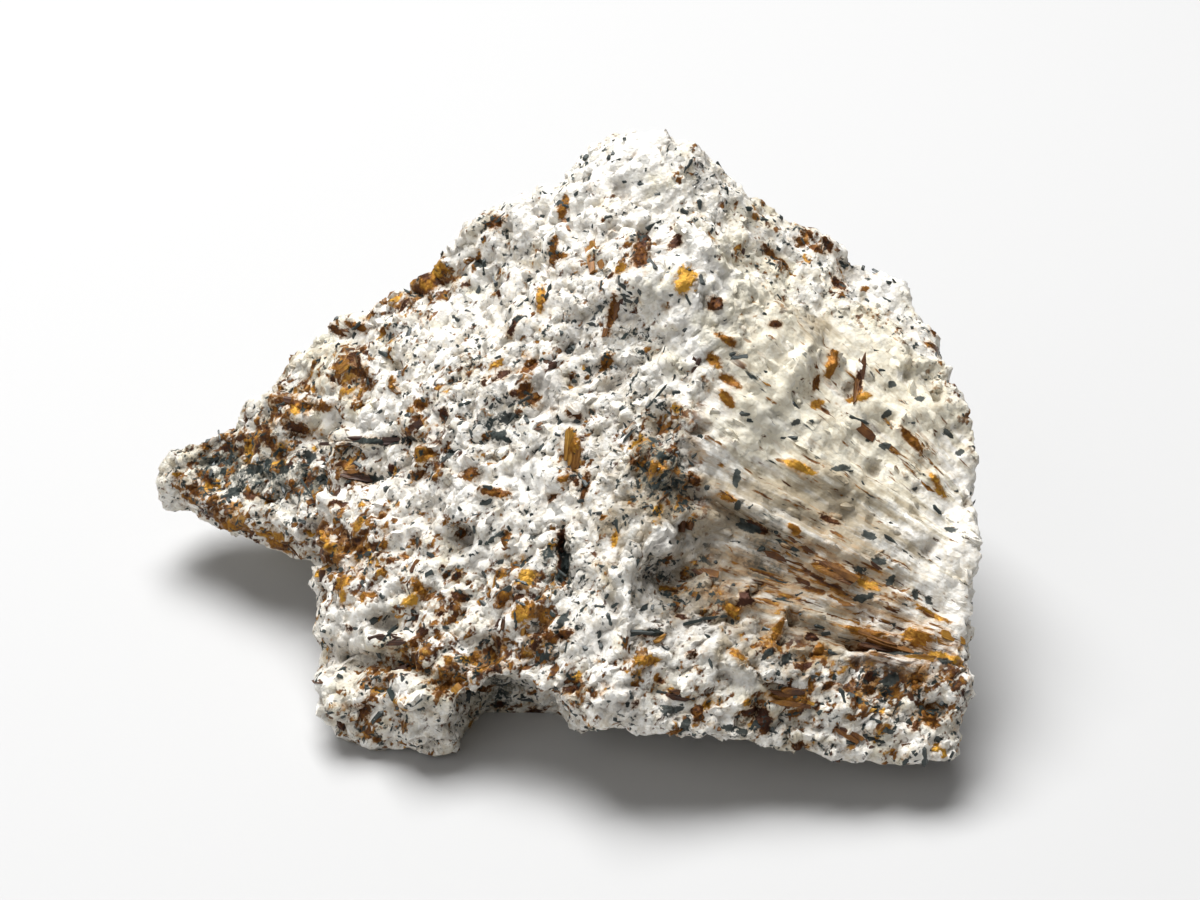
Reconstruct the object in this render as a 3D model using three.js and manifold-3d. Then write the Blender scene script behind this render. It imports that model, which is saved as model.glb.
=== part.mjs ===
// Astrophyllite cluster: one broken lump of white feldspar rock with bronze blades grown through it.
// Millimetres, +Z up. X runs from the thin shelf on the left to the steep right side, Y from front to back.
// Blocks between the main corners are joined, hollows are broken out and knobs are left standing, the
// surface is roughened, the underside is cut flat where the lump rests, and the proud crystals are fused on.

import * as THREE from "three";
import { ConvexGeometry } from "three/addons/geometries/ConvexGeometry.js";
import { ImprovedNoise } from "three/addons/math/ImprovedNoise.js";
import { TessellateModifier } from "three/addons/modifiers/TessellateModifier.js";
import { mergeVertices } from "three/addons/utils/BufferGeometryUtils.js";
import Module from "manifold-3d";

// Driving dimensions, in millimetres.
const FACET_EDGE = 3.2; // longest edge of the roughened surface's triangles
const SPLIT_ROUNDS = 30; // enough halvings to bring every edge under that length
const BLADE_DEPTH = 1.3; // thickness of a bronze blade
const BLADE_PROUD = 0.45; // how far its flat side stands clear of the rock
const BLADE_LIST = 28; // degrees that a blade may lean to either side
const BLADE_PITCH = 14; // degrees that it may dip at either end
const ROOT_DEPTH = 5; // rock below the resting face before it is cut flat
const CUT_SPAN = 200; // width of the slab that takes the underside off
const WELD = 1e-3; // corners closer than this are one

// Roughening, coarse to fine: how far a point moves and over what length the movement turns.
const ROUGHNESS = [
  { reach: 0.55, length: 11 },
  { reach: 0.7, length: 4.6 },
  { reach: 0.45, length: 2.4 },
];

// Main corners of the lump.
const APEX = [
  [8.1, 11.4, 36.1],
  [5.6, 12.7, 35],
  [4.2, 13.6, 34],
  [10.4, 11.4, 35],
];
const RIDGE = [
  [10.1, 6.1, 33.2],
  [12.1, 0.1, 29.5],
  [10.7, -2.9, 26.6],
  [8.6, -6.5, 22.3],
  [7.2, -10.9, 17.9],
  [6.2, -14.9, 14],
];
const LEFT_CREST = [
  [3.1, 9.8, 34],
  [-4.9, 10.7, 29.5],
  [-9.4, 11.4, 26],
  [-14.8, 11.2, 20.5],
];
const RIGHT_CREST = [
  [12.3, 9.3, 33.5],
  [15.2, 8.6, 31],
  [18.2, 8.5, 29],
  [21.9, 8.6, 26],
  [25.4, 9.6, 24.2],
  [26.8, 9, 23],
  [28.9, 3, 21.3],
  [31, -0.6, 19.3],
];
const RIGHT_EDGE = [
  [30.5, -9, 13.7],
  [29.2, -16.1, 8],
  [28.3, -19.8, 3.7],
];
const FRONT_EDGE = [
  [20.3, -19, 5],
  [10.6, -19.6, 6],
  [5, -20.2, 7],
  [2.2, -18.6, 7],
  [0, -16.6, 8],
  [-3.1, -15.7, 7.5],
];
const LEFT_EDGE = [
  [-17.3, 1.4, 4.5],
  [-15.8, -3, 8.2],
  [-16.4, -5.5, 5],
  [-15.2, -8.8, 4.8],
];
const FOOT = [
  [-16.3, -12.4, 4],
  [-15, -14.1, 1],
  [-13.9, -14.5, 1],
  [-10.3, -14.7, 3],
  [-7, -15.5, 4.5],
];
const BACK = [
  [6, 17, 28],
  [18, 15, 23],
  [27, 13, 15],
  [-8, 16.5, 19],
];
const BASE = [
  [-14, -10, -ROOT_DEPTH],
  [-2, -9, -ROOT_DEPTH],
  [10, -5, -ROOT_DEPTH],
  [24, -6, -ROOT_DEPTH],
  [27.3, -3, -ROOT_DEPTH],
  [26, 12, -ROOT_DEPTH],
  [12, 19, -ROOT_DEPTH],
  [-6, 17.5, -ROOT_DEPTH],
  [-14.7, 7, -ROOT_DEPTH],
];

// The thin shelf that reaches out to the left, clear of the table, in two blocks that meet in a dip.
const SHELF_DIP = [
  [-23.8, 9.2, 12.2],
  [-23.1, 3.5, 8],
  [-24.3, 5.3, 5],
  [-23.5, 14, 6.5],
];
const SHELF_TIP = [
  [-27.3, 9.3, 10.3],
  [-30.2, 8.6, 8.3],
  [-29.8, 8.8, 5.5],
  [-26.6, 5.9, 7.3],
  [-28, 11.2, 5.5],
];
const SHELF_ROOT = [
  [-14.8, 11.2, 20.5],
  [-18.6, 11.1, 17.4],
  [-18.3, -0.2, 8.4],
  [-18.7, 2, 5],
  [-17.3, 1.4, 4.5],
  [-18, 17, 8],
  [-8, 2, 5],
  [-8, 8, 18],
  [-8, 16, 8],
];

// The pieces broken out from under the front edge: right of the front corner, and between it and the foot.
const FRONT_UNDERCUT = [
  [2, -20.6, 7],
  [10.6, -20.4, 5.6],
  [20.3, -20, 4.6],
  [29.5, -20.4, 3],
  [1, -27, 4],
  [30, -27, 1],
  [1, -9.5, -0.5],
  [25, -10, -0.5],
  [1, -27, -ROOT_DEPTH],
  [30, -27, -ROOT_DEPTH],
  [1, -9.5, -ROOT_DEPTH],
  [25, -10, -ROOT_DEPTH],
];
const LIP_HOLLOW = [
  [-7.2, -15.4, 5],
  [-3.1, -15.4, 7.8],
  [0, -16.2, 8.2],
  [2.6, -19, 7],
  [-8, -24, 3],
  [4, -25, 5],
  [-5, -11, 4],
  [0, -11.5, 5],
  [-7.5, -24, -ROOT_DEPTH],
  [4, -25, -ROOT_DEPTH],
  [-4, -9, -ROOT_DEPTH],
  [1.5, -9, -ROOT_DEPTH],
];

// Places on the lump are read as pixels of a 1200 by 900 picture, taken from this side of it.
const VIEW = {
  width: 1200,
  height: 900,
  fieldOfView: 24,
  elevation: 35,
  distance: 207,
  target: [3.8, 3, 14],
};

// Each row: pixel across, pixel down, turn in degrees on the picture, then half length, half width and
// depth in millimetres. A press bends the surface in over that stretch, or out where its depth is negative.
const PRESSES = [
  [850, 430, -38, 11, 8, 2.2], // dished right face
  [800, 258, -38, 8, 4.5, 2.2], // dip of the right crest
  [574, 192, 30, 3.4, 3, 1.5], // dip of the left crest
  [805, 588, -25, 10, 2, 1.4], // groove under the fibrous ledge
  [690, 560, 75, 4, 2.5, 1.2],
  [615, 610, 85, 6, 2.2, -0.7], // swelling that leads down to the front corner
  [705, 330, -65, 6, 2.5, -0.7], // thick upper end of the ridge
  [600, 440, 80, 6, 2.5, 0.6],
  [470, 600, 0, 6, 2.5, 0.8],
  [400, 470, -8, 6, 3, 0.6],
  [500, 655, 0, 5, 2, -0.5],
  [520, 270, 40, 6, 3, 0.5],
];
// The rows below have their half depth at the end.
const PITS = [
  [458, 533, 10, 1.2, 0.8, 1],
  [386, 621, 5, 1.4, 0.8, 1.2],
  [474, 652, 20, 1.3, 0.9, 1.2],
  [562, 562, 88, 2.8, 0.6, 1.1],
  [640, 470, 60, 2, 0.9, 0.9],
  [350, 668, 10, 1.8, 0.9, 1.2],
];
const KNOBS = [
  [643, 285, 70, 2.1, 1.7, 1],
  [663, 548, 0, 1.2, 1.1, 0.9],
  [380, 641, 15, 1.7, 1, 0.8],
  [338, 702, 40, 1.9, 1.6, 0.9],
  [425, 690, -20, 1.8, 1.2, 0.8],
  [500, 626, 0, 2.4, 0.8, 0.6],
  [608, 704, 60, 2, 1.4, 0.7],
  [800, 330, -40, 3.6, 0.6, 0.4],
  [870, 400, -42, 4, 0.6, 0.4],
  [762, 420, -48, 3.6, 0.7, 0.45],
  [838, 486, -36, 5, 0.7, 0.5],
  [902, 520, -34, 3.6, 0.6, 0.4],
  [765, 522, -32, 4, 0.7, 0.5],
  [860, 560, -28, 6, 0.7, 0.6],
  [880, 650, -10, 5, 0.8, 0.6],
  [765, 672, -8, 3.6, 0.7, 0.45],
  [880, 704, -6, 3.6, 0.7, 0.45],
];

// Each row: pixel across, pixel down, turn in degrees on the picture, then length and width in millimetres.
const BLADES = [
  [564, 207, 75, 2.4, 0.8],
  [553, 252, 80, 2.6, 0.8],
  [540, 299, 85, 2.4, 0.9],
  [611, 314, 78, 3.4, 0.9],
  [513, 325, 60, 1.8, 1],
  [686, 279, 70, 2.2, 1.6],
  [642, 250, 100, 2.4, 1.2],
  [426, 268, 20, 1.8, 0.9],
  [396, 299, 30, 1.6, 0.8],
  [353, 325, -15, 2.2, 0.8],
  [358, 372, -25, 2.6, 1.2],
  [292, 404, -10, 4, 1],
  [380, 441, 0, 8, 0.7],
  [421, 453, 15, 1.8, 1.2],
  [496, 492, -5, 2.8, 0.9],
  [572, 452, 88, 3.6, 1.2],
  [584, 486, 82, 2.6, 0.8],
  [204, 446, -40, 1.6, 0.9],
  [233, 522, -20, 2, 1.1],
  [326, 542, -60, 3, 1],
  [358, 527, 60, 2.4, 1.2],
  [343, 585, 30, 2, 1.2],
  [410, 600, 20, 1.3, 1],
  [527, 578, 15, 1.6, 1.2],
  [502, 596, 70, 2.2, 1.5],
  [523, 614, 40, 1.6, 1.2],
  [478, 664, 25, 1.6, 1.2],
  [648, 661, -5, 2.4, 1],
  [750, 596, 35, 1.8, 1.5],
  [779, 629, 65, 2.8, 0.9],
  [799, 467, -25, 3, 0.8],
  [832, 571, -22, 3.4, 0.8],
  [911, 440, -50, 2.8, 0.9],
  [936, 485, -55, 2.6, 0.8],
  [866, 631, -15, 3.6, 0.8],
  [886, 645, -5, 5, 0.8],
  [918, 637, -15, 2.6, 1.2],
  [942, 656, -20, 2.6, 0.9],
  [792, 698, -10, 3, 1.1],
  [860, 380, 85, 3, 0.7],
  [833, 363, 80, 2.6, 0.9],
  [728, 340, -20, 2, 0.9],
];

// The sides that the picture doesn't show, by azimuth, and how many features each of them gets, with the
// lowest and highest value of each of a feature's sizes.
const OTHER_SIDES = [80, 125, 170, 215, 260];
const SIDE_PRESSES = { count: 5, sizes: [[3, 8], [2, 4], [-0.4, 1.4]] };
const SIDE_KNOBS = { count: 3, sizes: [[1.2, 4], [0.8, 1.6], [0.5, 0.9]] };
const SIDE_BLADES = { count: 4, sizes: [[1.8, 4], [0.8, 1.4]] };
const SIDE_REACH = [300, 250]; // pixels from the picture's middle within which they fall
const PRESS_SPAN = 6; // millimetres below and above its seat over which a press dies away
const SEED = 11;

const wasm = await Module();
wasm.setup();

// A closed geometry as a solid that can be joined and cut.
function solidOf(geometry) {
  const bare = new THREE.BufferGeometry();
  bare.setAttribute("position", geometry.getAttribute("position"));
  if (geometry.index) bare.setIndex(geometry.index);
  const merged = mergeVertices(bare, WELD);
  return new wasm.Manifold(
    new wasm.Mesh({
      numProp: 3,
      vertProperties: merged.getAttribute("position").array,
      triVerts: new Uint32Array(merged.index.array),
    }),
  );
}

// A solid as a geometry again.
function geometryOf(solid) {
  const { vertProperties, triVerts } = solid.getMesh();
  const geometry = new THREE.BufferGeometry();
  geometry.setAttribute("position", new THREE.BufferAttribute(vertProperties, 3));
  geometry.setIndex(new THREE.BufferAttribute(triVerts, 1));
  return geometry;
}

// Seeded random numbers from 0 to 1, so that every build gives the same lump.
let randomState = SEED;
function random() {
  randomState = (Math.imul(randomState, 1664525) + 1013904223) >>> 0;
  return randomState / 2 ** 32;
}

function between(low, high) {
  return low + (high - low) * random();
}

// The block of rock between its corners.
function block(...corners) {
  return solidOf(new ConvexGeometry(corners.flat().map((corner) => new THREE.Vector3(...corner))));
}

// The line of sight through a pixel, and the picture's own right and up, seen from an azimuth.
function sightLine(across, down, azimuth) {
  const around = THREE.MathUtils.degToRad(azimuth);
  const rise = THREE.MathUtils.degToRad(VIEW.elevation);
  const right = new THREE.Vector3(Math.cos(around), Math.sin(around), 0);
  const back = new THREE.Vector3(Math.sin(around), -Math.cos(around), 0).multiplyScalar(Math.cos(rise));
  back.z = Math.sin(rise);
  const up = back.clone().cross(right);
  const focal = VIEW.width / 2 / Math.tan(THREE.MathUtils.degToRad(VIEW.fieldOfView / 2));
  const eye = new THREE.Vector3(...VIEW.target).addScaledVector(back, VIEW.distance);
  const ahead = back
    .clone()
    .multiplyScalar(-focal)
    .addScaledVector(right, across - VIEW.width / 2)
    .addScaledVector(up, VIEW.height / 2 - down)
    .normalize();
  return { eye, ahead, right, up };
}

// The place where a feature's line of sight meets the rock: X runs along the surface at the turn seen on the
// picture and Z points out of the rock. A line that misses the rock gives nothing.
function seat(surface, { across, down, turn, azimuth }) {
  const { eye, ahead, right, up } = sightLine(across, down, azimuth);
  const [hit] = new THREE.Raycaster(eye, ahead).intersectObject(surface);
  if (!hit) return null;
  const out = hit.face.normal;
  const heading = THREE.MathUtils.degToRad(turn);
  const along = right.multiplyScalar(Math.cos(heading)).addScaledVector(up, Math.sin(heading));
  along.addScaledVector(ahead, -along.dot(out) / ahead.dot(out)).normalize();
  const place = new THREE.Matrix4().makeBasis(along, out.clone().cross(along), out);
  return place.setPosition(hit.point);
}

// A table's rows as features of the side that the picture shows.
function onFront(rows) {
  return rows.map(([across, down, turn, ...sizes]) => ({ across, down, turn, sizes, azimuth: 0 }));
}

// Scattered features of the sides that the picture doesn't show.
function onOtherSides({ count, sizes }) {
  return OTHER_SIDES.flatMap((azimuth) =>
    Array.from({ length: count }, () => ({
      across: VIEW.width / 2 + between(-SIDE_REACH[0], SIDE_REACH[0]),
      down: VIEW.height / 2 + between(-SIDE_REACH[1], SIDE_REACH[1]),
      turn: between(-90, 90),
      sizes: sizes.map(([low, high]) => between(low, high)),
      azimuth,
    })),
  );
}

// The seats of the features whose lines of sight meet the rock.
function seats(rock, features) {
  const surface = new THREE.Mesh(geometryOf(rock));
  return features
    .map((feature) => ({ sizes: feature.sizes, place: seat(surface, feature) }))
    .filter(({ place }) => place);
}

// The features as solids, each made from its sizes and set on its seat.
function seated(rock, features, make) {
  return seats(rock, features).map(({ sizes, place }) => solidOf(make(...sizes).applyMatrix4(place)));
}

// An angular pebble by its half sizes, for pits and knobs, with facets no longer than the rock's own.
function pebble(length, width, depth) {
  return new THREE.IcosahedronGeometry(1, Math.floor(length / FACET_EDGE)).scale(length, width, depth);
}

// A flat blade with two slanted ends, its broad side BLADE_PROUD above its seat.
function blade(length, width) {
  const outline = new THREE.Shape([
    new THREE.Vector2(-length / 2, -width / 2),
    new THREE.Vector2((length - width) / 2, -width / 2),
    new THREE.Vector2(length / 2, width / 2),
    new THREE.Vector2((width - length) / 2, width / 2),
  ]);
  const geometry = new THREE.ExtrudeGeometry(outline, { depth: BLADE_DEPTH, bevelEnabled: false });
  const list = THREE.MathUtils.degToRad(between(-BLADE_LIST, BLADE_LIST));
  const pitch = THREE.MathUtils.degToRad(between(-BLADE_PITCH, BLADE_PITCH));
  return geometry.translate(0, 0, BLADE_PROUD - BLADE_DEPTH).rotateX(list).rotateY(pitch);
}

// A rock with every corner of its facets moved by a function of where it is.
function moved(rock, movement) {
  const geometry = geometryOf(rock);
  const position = geometry.getAttribute("position");
  const point = new THREE.Vector3();
  for (let i = 0; i < position.count; i++) {
    point.fromBufferAttribute(position, i);
    position.setXYZ(i, ...point.clone().add(movement(point)));
  }
  return solidOf(geometry);
}

// The rock bent in or out at each press.
function pressed(rock, features) {
  const presses = seats(rock, features).map(({ sizes, place }) => ({
    sizes,
    out: new THREE.Vector3().setFromMatrixColumn(place, 2),
    inverse: place.clone().invert(),
  }));
  return moved(rock, (point) =>
    presses.reduce((sum, { sizes: [length, width, depth], out, inverse }) => {
      const local = point.clone().applyMatrix4(inverse);
      local.divide(new THREE.Vector3(length, width, PRESS_SPAN));
      return sum.addScaledVector(out, -depth * Math.exp(-local.lengthSq()));
    }, new THREE.Vector3()),
  );
}

const noise = new ImprovedNoise();
// Offsets that make the three directions of the movement independent.
const NOISE_SHIFTS = [17.3, 51.9, 88.1];

function roughening(point) {
  const move = NOISE_SHIFTS.map((shift) =>
    ROUGHNESS.reduce((sum, { reach, length }) => {
      const at = point.clone().divideScalar(length).addScalar(shift);
      return sum + reach * noise.noise(at.x, at.y, at.z);
    }, 0),
  );
  return new THREE.Vector3(...move);
}

// A block's large faces split into small facets.
function faceted(rock) {
  return solidOf(new TessellateModifier(FACET_EDGE, SPLIT_ROUNDS).modify(geometryOf(rock)));
}

// The slab below the resting face.
function underside() {
  return solidOf(new THREE.BoxGeometry(CUT_SPAN, CUT_SPAN, CUT_SPAN).translate(0, 0, -CUT_SPAN / 2));
}

// The main blocks, joined, with the hollow under the front edge broken out.
function brokenBlocks() {
  const edges = [RIGHT_EDGE, FRONT_EDGE, LEFT_EDGE, FOOT];
  return block(APEX, RIDGE, LEFT_CREST, RIGHT_CREST, ...edges, BACK, BASE)
    .add(block(SHELF_ROOT, SHELF_DIP))
    .add(block(SHELF_DIP, SHELF_TIP))
    .subtract(block(FRONT_UNDERCUT))
    .subtract(block(LIP_HOLLOW));
}

function lump() {
  const presses = [...onFront(PRESSES), ...onOtherSides(SIDE_PRESSES)];
  const bent = pressed(faceted(brokenBlocks()), presses);
  const pits = seated(bent, onFront(PITS), pebble);
  const pitted = pits.reduce((rock, pit) => rock.subtract(pit), bent);
  const knobs = seated(pitted, [...onFront(KNOBS), ...onOtherSides(SIDE_KNOBS)], pebble);
  const knobbed = knobs.reduce((rock, knob) => rock.add(knob), pitted);
  const rested = moved(knobbed, roughening).subtract(underside());
  const blades = seated(rested, [...onFront(BLADES), ...onOtherSides(SIDE_BLADES)], blade);
  return blades.reduce((rock, crystal) => rock.add(crystal), rested);
}

const rockMaterial = new THREE.MeshStandardMaterial({ color: 0xded9cd, roughness: 0.8, metalness: 0 });
const rock = new THREE.Mesh(geometryOf(lump()), rockMaterial);
rock.name = "rock";

// The origin lies on the resting face, under the middle of the lump's box.
rock.geometry.computeBoundingBox();
const middle = rock.geometry.boundingBox.getCenter(new THREE.Vector3());
rock.position.set(-middle.x, -middle.y, 0);

const specimen = new THREE.Group();
specimen.add(rock);

export default specimen;
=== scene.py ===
"""A broken lump of white feldspar rock, set with bronze astrophyllite blades and black aegirine needles.

The rock's rough surface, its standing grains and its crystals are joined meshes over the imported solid. A
place read from the photograph is a pixel of its 1200 by 900 frame, and is seated where its line of sight
meets the rock.
"""

import math

import bpy
import numpy as np
from bpy.props import FloatProperty, FloatVectorProperty, IntProperty, PointerProperty
from bpy.types import Operator, Panel, PropertyGroup
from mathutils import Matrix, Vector, noise
from mathutils.bvhtree import BVHTree


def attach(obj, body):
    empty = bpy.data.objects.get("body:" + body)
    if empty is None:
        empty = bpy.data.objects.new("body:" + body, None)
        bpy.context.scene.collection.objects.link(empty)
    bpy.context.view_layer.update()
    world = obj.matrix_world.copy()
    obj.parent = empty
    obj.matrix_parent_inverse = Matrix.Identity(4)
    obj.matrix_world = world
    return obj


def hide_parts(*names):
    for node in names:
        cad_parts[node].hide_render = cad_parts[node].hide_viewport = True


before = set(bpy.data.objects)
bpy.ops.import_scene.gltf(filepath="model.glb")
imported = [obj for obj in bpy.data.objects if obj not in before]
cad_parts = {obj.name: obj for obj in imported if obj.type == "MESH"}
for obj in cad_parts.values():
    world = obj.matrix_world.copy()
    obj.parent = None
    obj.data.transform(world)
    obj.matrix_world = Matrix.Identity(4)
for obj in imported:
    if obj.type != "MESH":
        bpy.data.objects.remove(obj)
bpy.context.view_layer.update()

bl_info = {
    "name": "Astrophyllite Cluster",
    "version": (1, 0, 0),
    "blender": (4, 5, 0),
    "location": "View3D > Sidebar > Specimen",
    "description": "Builds a lump of feldspar rock with astrophyllite blades and aegirine needles",
    "category": "Add Mesh",
}

MM = 0.001
SOFT_ANGLE = math.radians(60)

# The photograph's viewpoint
PHOTO_SIZE = (1200, 900)
VIEW_ANGLE = math.radians(24)
VIEW_HEIGHT = math.radians(35)
VIEW_DISTANCE = 207 * MM
VIEW_TARGET = np.array((3.58, 3.73, 14.0)) * MM
SENSOR_WIDTH = 36
RIGHT = np.array((1.0, 0.0, 0.0))
UP = np.array((0.0, math.sin(VIEW_HEIGHT), math.cos(VIEW_HEIGHT)))
AHEAD = np.array((0.0, math.cos(VIEW_HEIGHT), -math.sin(VIEW_HEIGHT)))
EYE = VIEW_TARGET - AHEAD * VIEW_DISTANCE
FOCAL_PIXELS = PHOTO_SIZE[0] / 2 / math.tan(VIEW_ANGLE / 2)

# The fibres of the right face run towards one focus beyond the rock's lower right corner
FAN_FOCUS = np.array((49.0, -15.0, 1.5)) * MM
FAN_MIDDLE = np.array((20.0, -7.4, 18.8)) * MM
FAN_FACING = np.array((0.377, -0.434, 0.818))
# From where to where the fibrous zone's strength turns sugary rock into fibres
FIBRE_RANGE = (0.35, 0.75)

# Zones of colour and grain: pixel across, pixel down, radius in mm, strength
RUSTY = (
    (300, 400, 3.2, 0.7), (355, 372, 2.0, 0.7), (270, 455, 2.6, 0.6), (225, 440, 1.6, 1.0),
    (225, 520, 2.0, 1.0), (330, 545, 2.4, 0.8), (375, 535, 2.6, 0.6), (345, 590, 2.4, 0.6),
    (410, 600, 2.4, 0.5), (430, 275, 2.2, 0.8), (390, 300, 2.2, 0.6), (515, 595, 2.0, 0.6),
    (480, 658, 2.2, 1.0), (640, 255, 2.2, 0.6), (420, 400, 2.2, 0.5), (425, 455, 2.4, 0.5),
    (575, 460, 1.8, 0.5), (720, 370, 2.5, 0.3), (680, 440, 3.0, 0.4), (690, 490, 2.6, 0.5),
    (800, 470, 2.0, 0.5), (820, 560, 3.2, 0.9), (775, 575, 2.4, 0.7), (870, 590, 2.5, 0.7),
    (890, 640, 3.0, 1.0), (940, 650, 2.5, 1.0), (870, 690, 2.8, 0.6), (790, 700, 2.8, 0.5),
    (910, 440, 2.0, 0.5), (940, 480, 2.0, 0.5), (840, 380, 2.4, 0.5), (645, 660, 1.8, 0.7),
    (790, 640, 2.2, 0.7), (930, 350, 2.0, 0.4), (365, 700, 2.6, 0.7), (320, 335, 2.2, 0.7),
    (420, 660, 2.6, 0.8), (540, 650, 2.2, 0.8), (540, 590, 2.0, 0.5), (320, 480, 2.6, 0.7),
    (455, 610, 2.2, 0.4), (730, 580, 3.0, 0.6), (590, 690, 2.4, 0.6), (690, 700, 2.6, 0.3),
    (530, 370, 2.0, 0.6), (460, 520, 2.2, 0.2), (700, 420, 2.2, 0.4), (196, 485, 1.4, 0.9),
    (280, 540, 1.8, 1.0), (252, 436, 1.5, 0.8), (930, 700, 2.4, 0.3), (720, 700, 2.4, 0.3),
    (840, 725, 2.2, 0.2), (206, 512, 1.4, 1.0), (345, 470, 1.8, 0.8),
)
DARK = (
    (500, 425, 2.2, 0.9), (205, 465, 2.2, 0.8), (235, 470, 2.2, 0.9), (265, 475, 2.2, 0.9),
    (295, 480, 2.2, 0.8), (320, 485, 1.8, 0.6), (655, 450, 3.2, 0.7), (670, 485, 2.4, 0.7),
    (870, 590, 2.0, 0.4), (840, 470, 1.6, 0.4), (885, 680, 3.0, 0.7), (615, 145, 1.4, 0.7),
    (490, 222, 1.5, 0.7), (560, 560, 1.5, 0.7), (620, 340, 3.0, 0.5), (770, 520, 2.0, 0.6),
    (545, 650, 2.0, 0.5), (475, 650, 1.8, 0.9), (550, 580, 1.8, 0.6), (770, 570, 2.4, 0.8),
    (440, 380, 2.5, 0.4), (500, 690, 2.6, 0.8), (400, 690, 2.4, 0.6), (590, 600, 2.4, 0.4),
    (665, 570, 1.8, 0.8),
)
# Grey glassy patches, partly glassy feldspar and partly painted shade on the lower right face and in shadowy
# hollows
GLASSY_AND_SHADED = (
    (720, 560, 4.4, 0.9), (780, 600, 5.0, 0.9), (830, 620, 4.5, 0.6), (690, 640, 4.0, 0.1),
    (760, 660, 4.0, 0.5), (740, 500, 3.0, 0.8), (900, 600, 3.0, 0.3), (632, 600, 2.5, 0.6),
    (815, 325, 2.4, 1.0), (480, 690, 3.0, 0.7), (672, 455, 3.0, 0.9), (610, 515, 2.4, 0.9),
    (640, 520, 2.0, 0.8), (770, 572, 2.5, 0.9), (830, 520, 3.5, 0.7), (880, 555, 3.2, 0.5),
    (900, 490, 4.0, 0.4), (800, 490, 3.0, 0.6),
)
CREAMY = (
    (760, 330, 7.0, 0.6), (840, 380, 7.0, 0.6), (860, 450, 6.0, 0.9), (900, 380, 6.0, 0.6),
    (790, 420, 6.0, 0.7), (330, 360, 3.0, 0.6), (740, 260, 4.0, 0.3), (760, 700, 4.0, 0.6),
    (880, 720, 4.0, 0.6), (330, 450, 5.0, 0.5), (430, 640, 4.0, 0.6), (340, 690, 3.0, 0.5),
)
FIBROUS = (
    (800, 400, 8.0, 0.7), (860, 430, 8.0, 0.8), (860, 540, 6.5, 1.0), (910, 600, 5.0, 1.0),
    (780, 550, 5.0, 1.0), (930, 520, 5.0, 0.9), (730, 440, 3.0, 0.6),
)
SMOOTH = (
    (655, 150, 3.0, 0.9), (700, 170, 4.0, 0.8), (750, 220, 4.5, 0.8), (810, 270, 5.0, 0.8),
    (880, 300, 5.0, 0.8), (930, 380, 5.0, 0.7), (730, 300, 4.0, 0.6), (840, 350, 5.0, 0.7),
    (600, 600, 2.4, 0.7), (600, 560, 2.2, 0.7),
)
# White lumps with few specks and patches on them, and half the painted shade, so that they stand brighter
# where the rock is lit
CLEAN_AND_LIT = (
    (637, 140, 1.6, 1.0), (625, 165, 2.0, 0.9), (660, 190, 1.6, 0.8), (575, 210, 1.4, 0.8),
    (520, 215, 1.4, 0.7), (450, 245, 1.2, 0.8), (685, 255, 1.8, 1.0), (650, 285, 1.7, 1.0),
    (705, 295, 1.6, 0.9), (475, 285, 1.3, 0.8), (440, 320, 1.2, 0.7), (360, 330, 1.0, 0.7),
    (330, 390, 1.4, 1.0), (320, 415, 1.2, 1.0), (375, 425, 1.6, 1.0), (535, 360, 1.2, 0.7),
    (550, 385, 1.2, 0.7), (535, 420, 1.2, 0.8), (525, 480, 1.6, 1.0), (460, 490, 1.2, 0.8),
    (470, 550, 1.4, 0.9), (330, 495, 1.2, 0.8), (560, 515, 1.0, 0.7), (390, 595, 1.2, 0.8),
    (340, 605, 1.2, 0.8), (365, 640, 1.6, 0.9), (480, 625, 1.4, 0.9), (330, 685, 1.6, 1.0),
    (415, 685, 1.4, 0.9), (600, 645, 1.6, 0.9), (610, 690, 1.4, 0.8), (665, 540, 1.4, 1.0),
    (620, 600, 1.4, 0.7), (885, 288, 1.8, 0.9), (720, 330, 1.6, 0.7), (710, 640, 2.0, 0.9),
    (740, 690, 1.8, 0.6), (775, 425, 2.2, 0.9), (720, 290, 2.0, 0.9), (675, 690, 1.6, 0.8),
    (690, 340, 1.6, 0.8), (670, 375, 1.4, 0.6), (745, 285, 1.6, 0.6), (515, 610, 1.2, 0.8),
)
ZONES = {
    "rusty": RUSTY,
    "dark": DARK,
    "glassy": GLASSY_AND_SHADED,
    "creamy": CREAMY,
    "fibrous": FIBROUS,
    "smooth": SMOOTH,
    "clean": CLEAN_AND_LIT,
}
# Zones on the sides that the photograph hides: number of spots, and their least and greatest radius in mm
HIDDEN_ZONES = {
    "rusty": (26, (1.6, 3.2)),
    "dark": (16, (1.6, 3.2)),
    "glassy": (8, (2.5, 5)),
    "creamy": (8, (4, 7)),
    "clean": (50, (1.0, 2.0)),
}

# Knobs and hollows: pixel across, pixel down, radius in mm, height in mm, less than 0 for a hollow
KNOBS = (
    (662, 542, 1.6, 1.1), (330, 392, 1.5, 0.5), (322, 416, 1.2, 0.4), (375, 630, 1.7, 0.6),
    (340, 690, 2.0, 0.7), (420, 690, 1.7, 0.6), (645, 284, 1.6, 0.7), (617, 690, 1.9, 0.6),
    (893, 284, 1.9, 1.0), (930, 735, 1.6, 0.4), (966, 550, 1.8, 0.5), (385, 620, 1.0, -1.0),
    (455, 537, 1.1, -1.0), (480, 652, 1.3, -1.0), (540, 400, 1.3, -0.9), (672, 572, 1.2, -1.2),
    (427, 519, 0.7, -0.6), (735, 522, 1.3, -0.7), (712, 585, 4.2, -1.1), (830, 348, 0.9, -0.5),
    (356, 377, 0.9, -0.8), (858, 268, 1.5, -0.5), (660, 430, 1.0, -0.5), (690, 455, 1.0, -0.5),
    (665, 485, 1.2, -0.6), (690, 495, 0.9, -0.6), (330, 655, 1.3, -1.1),
)
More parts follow.
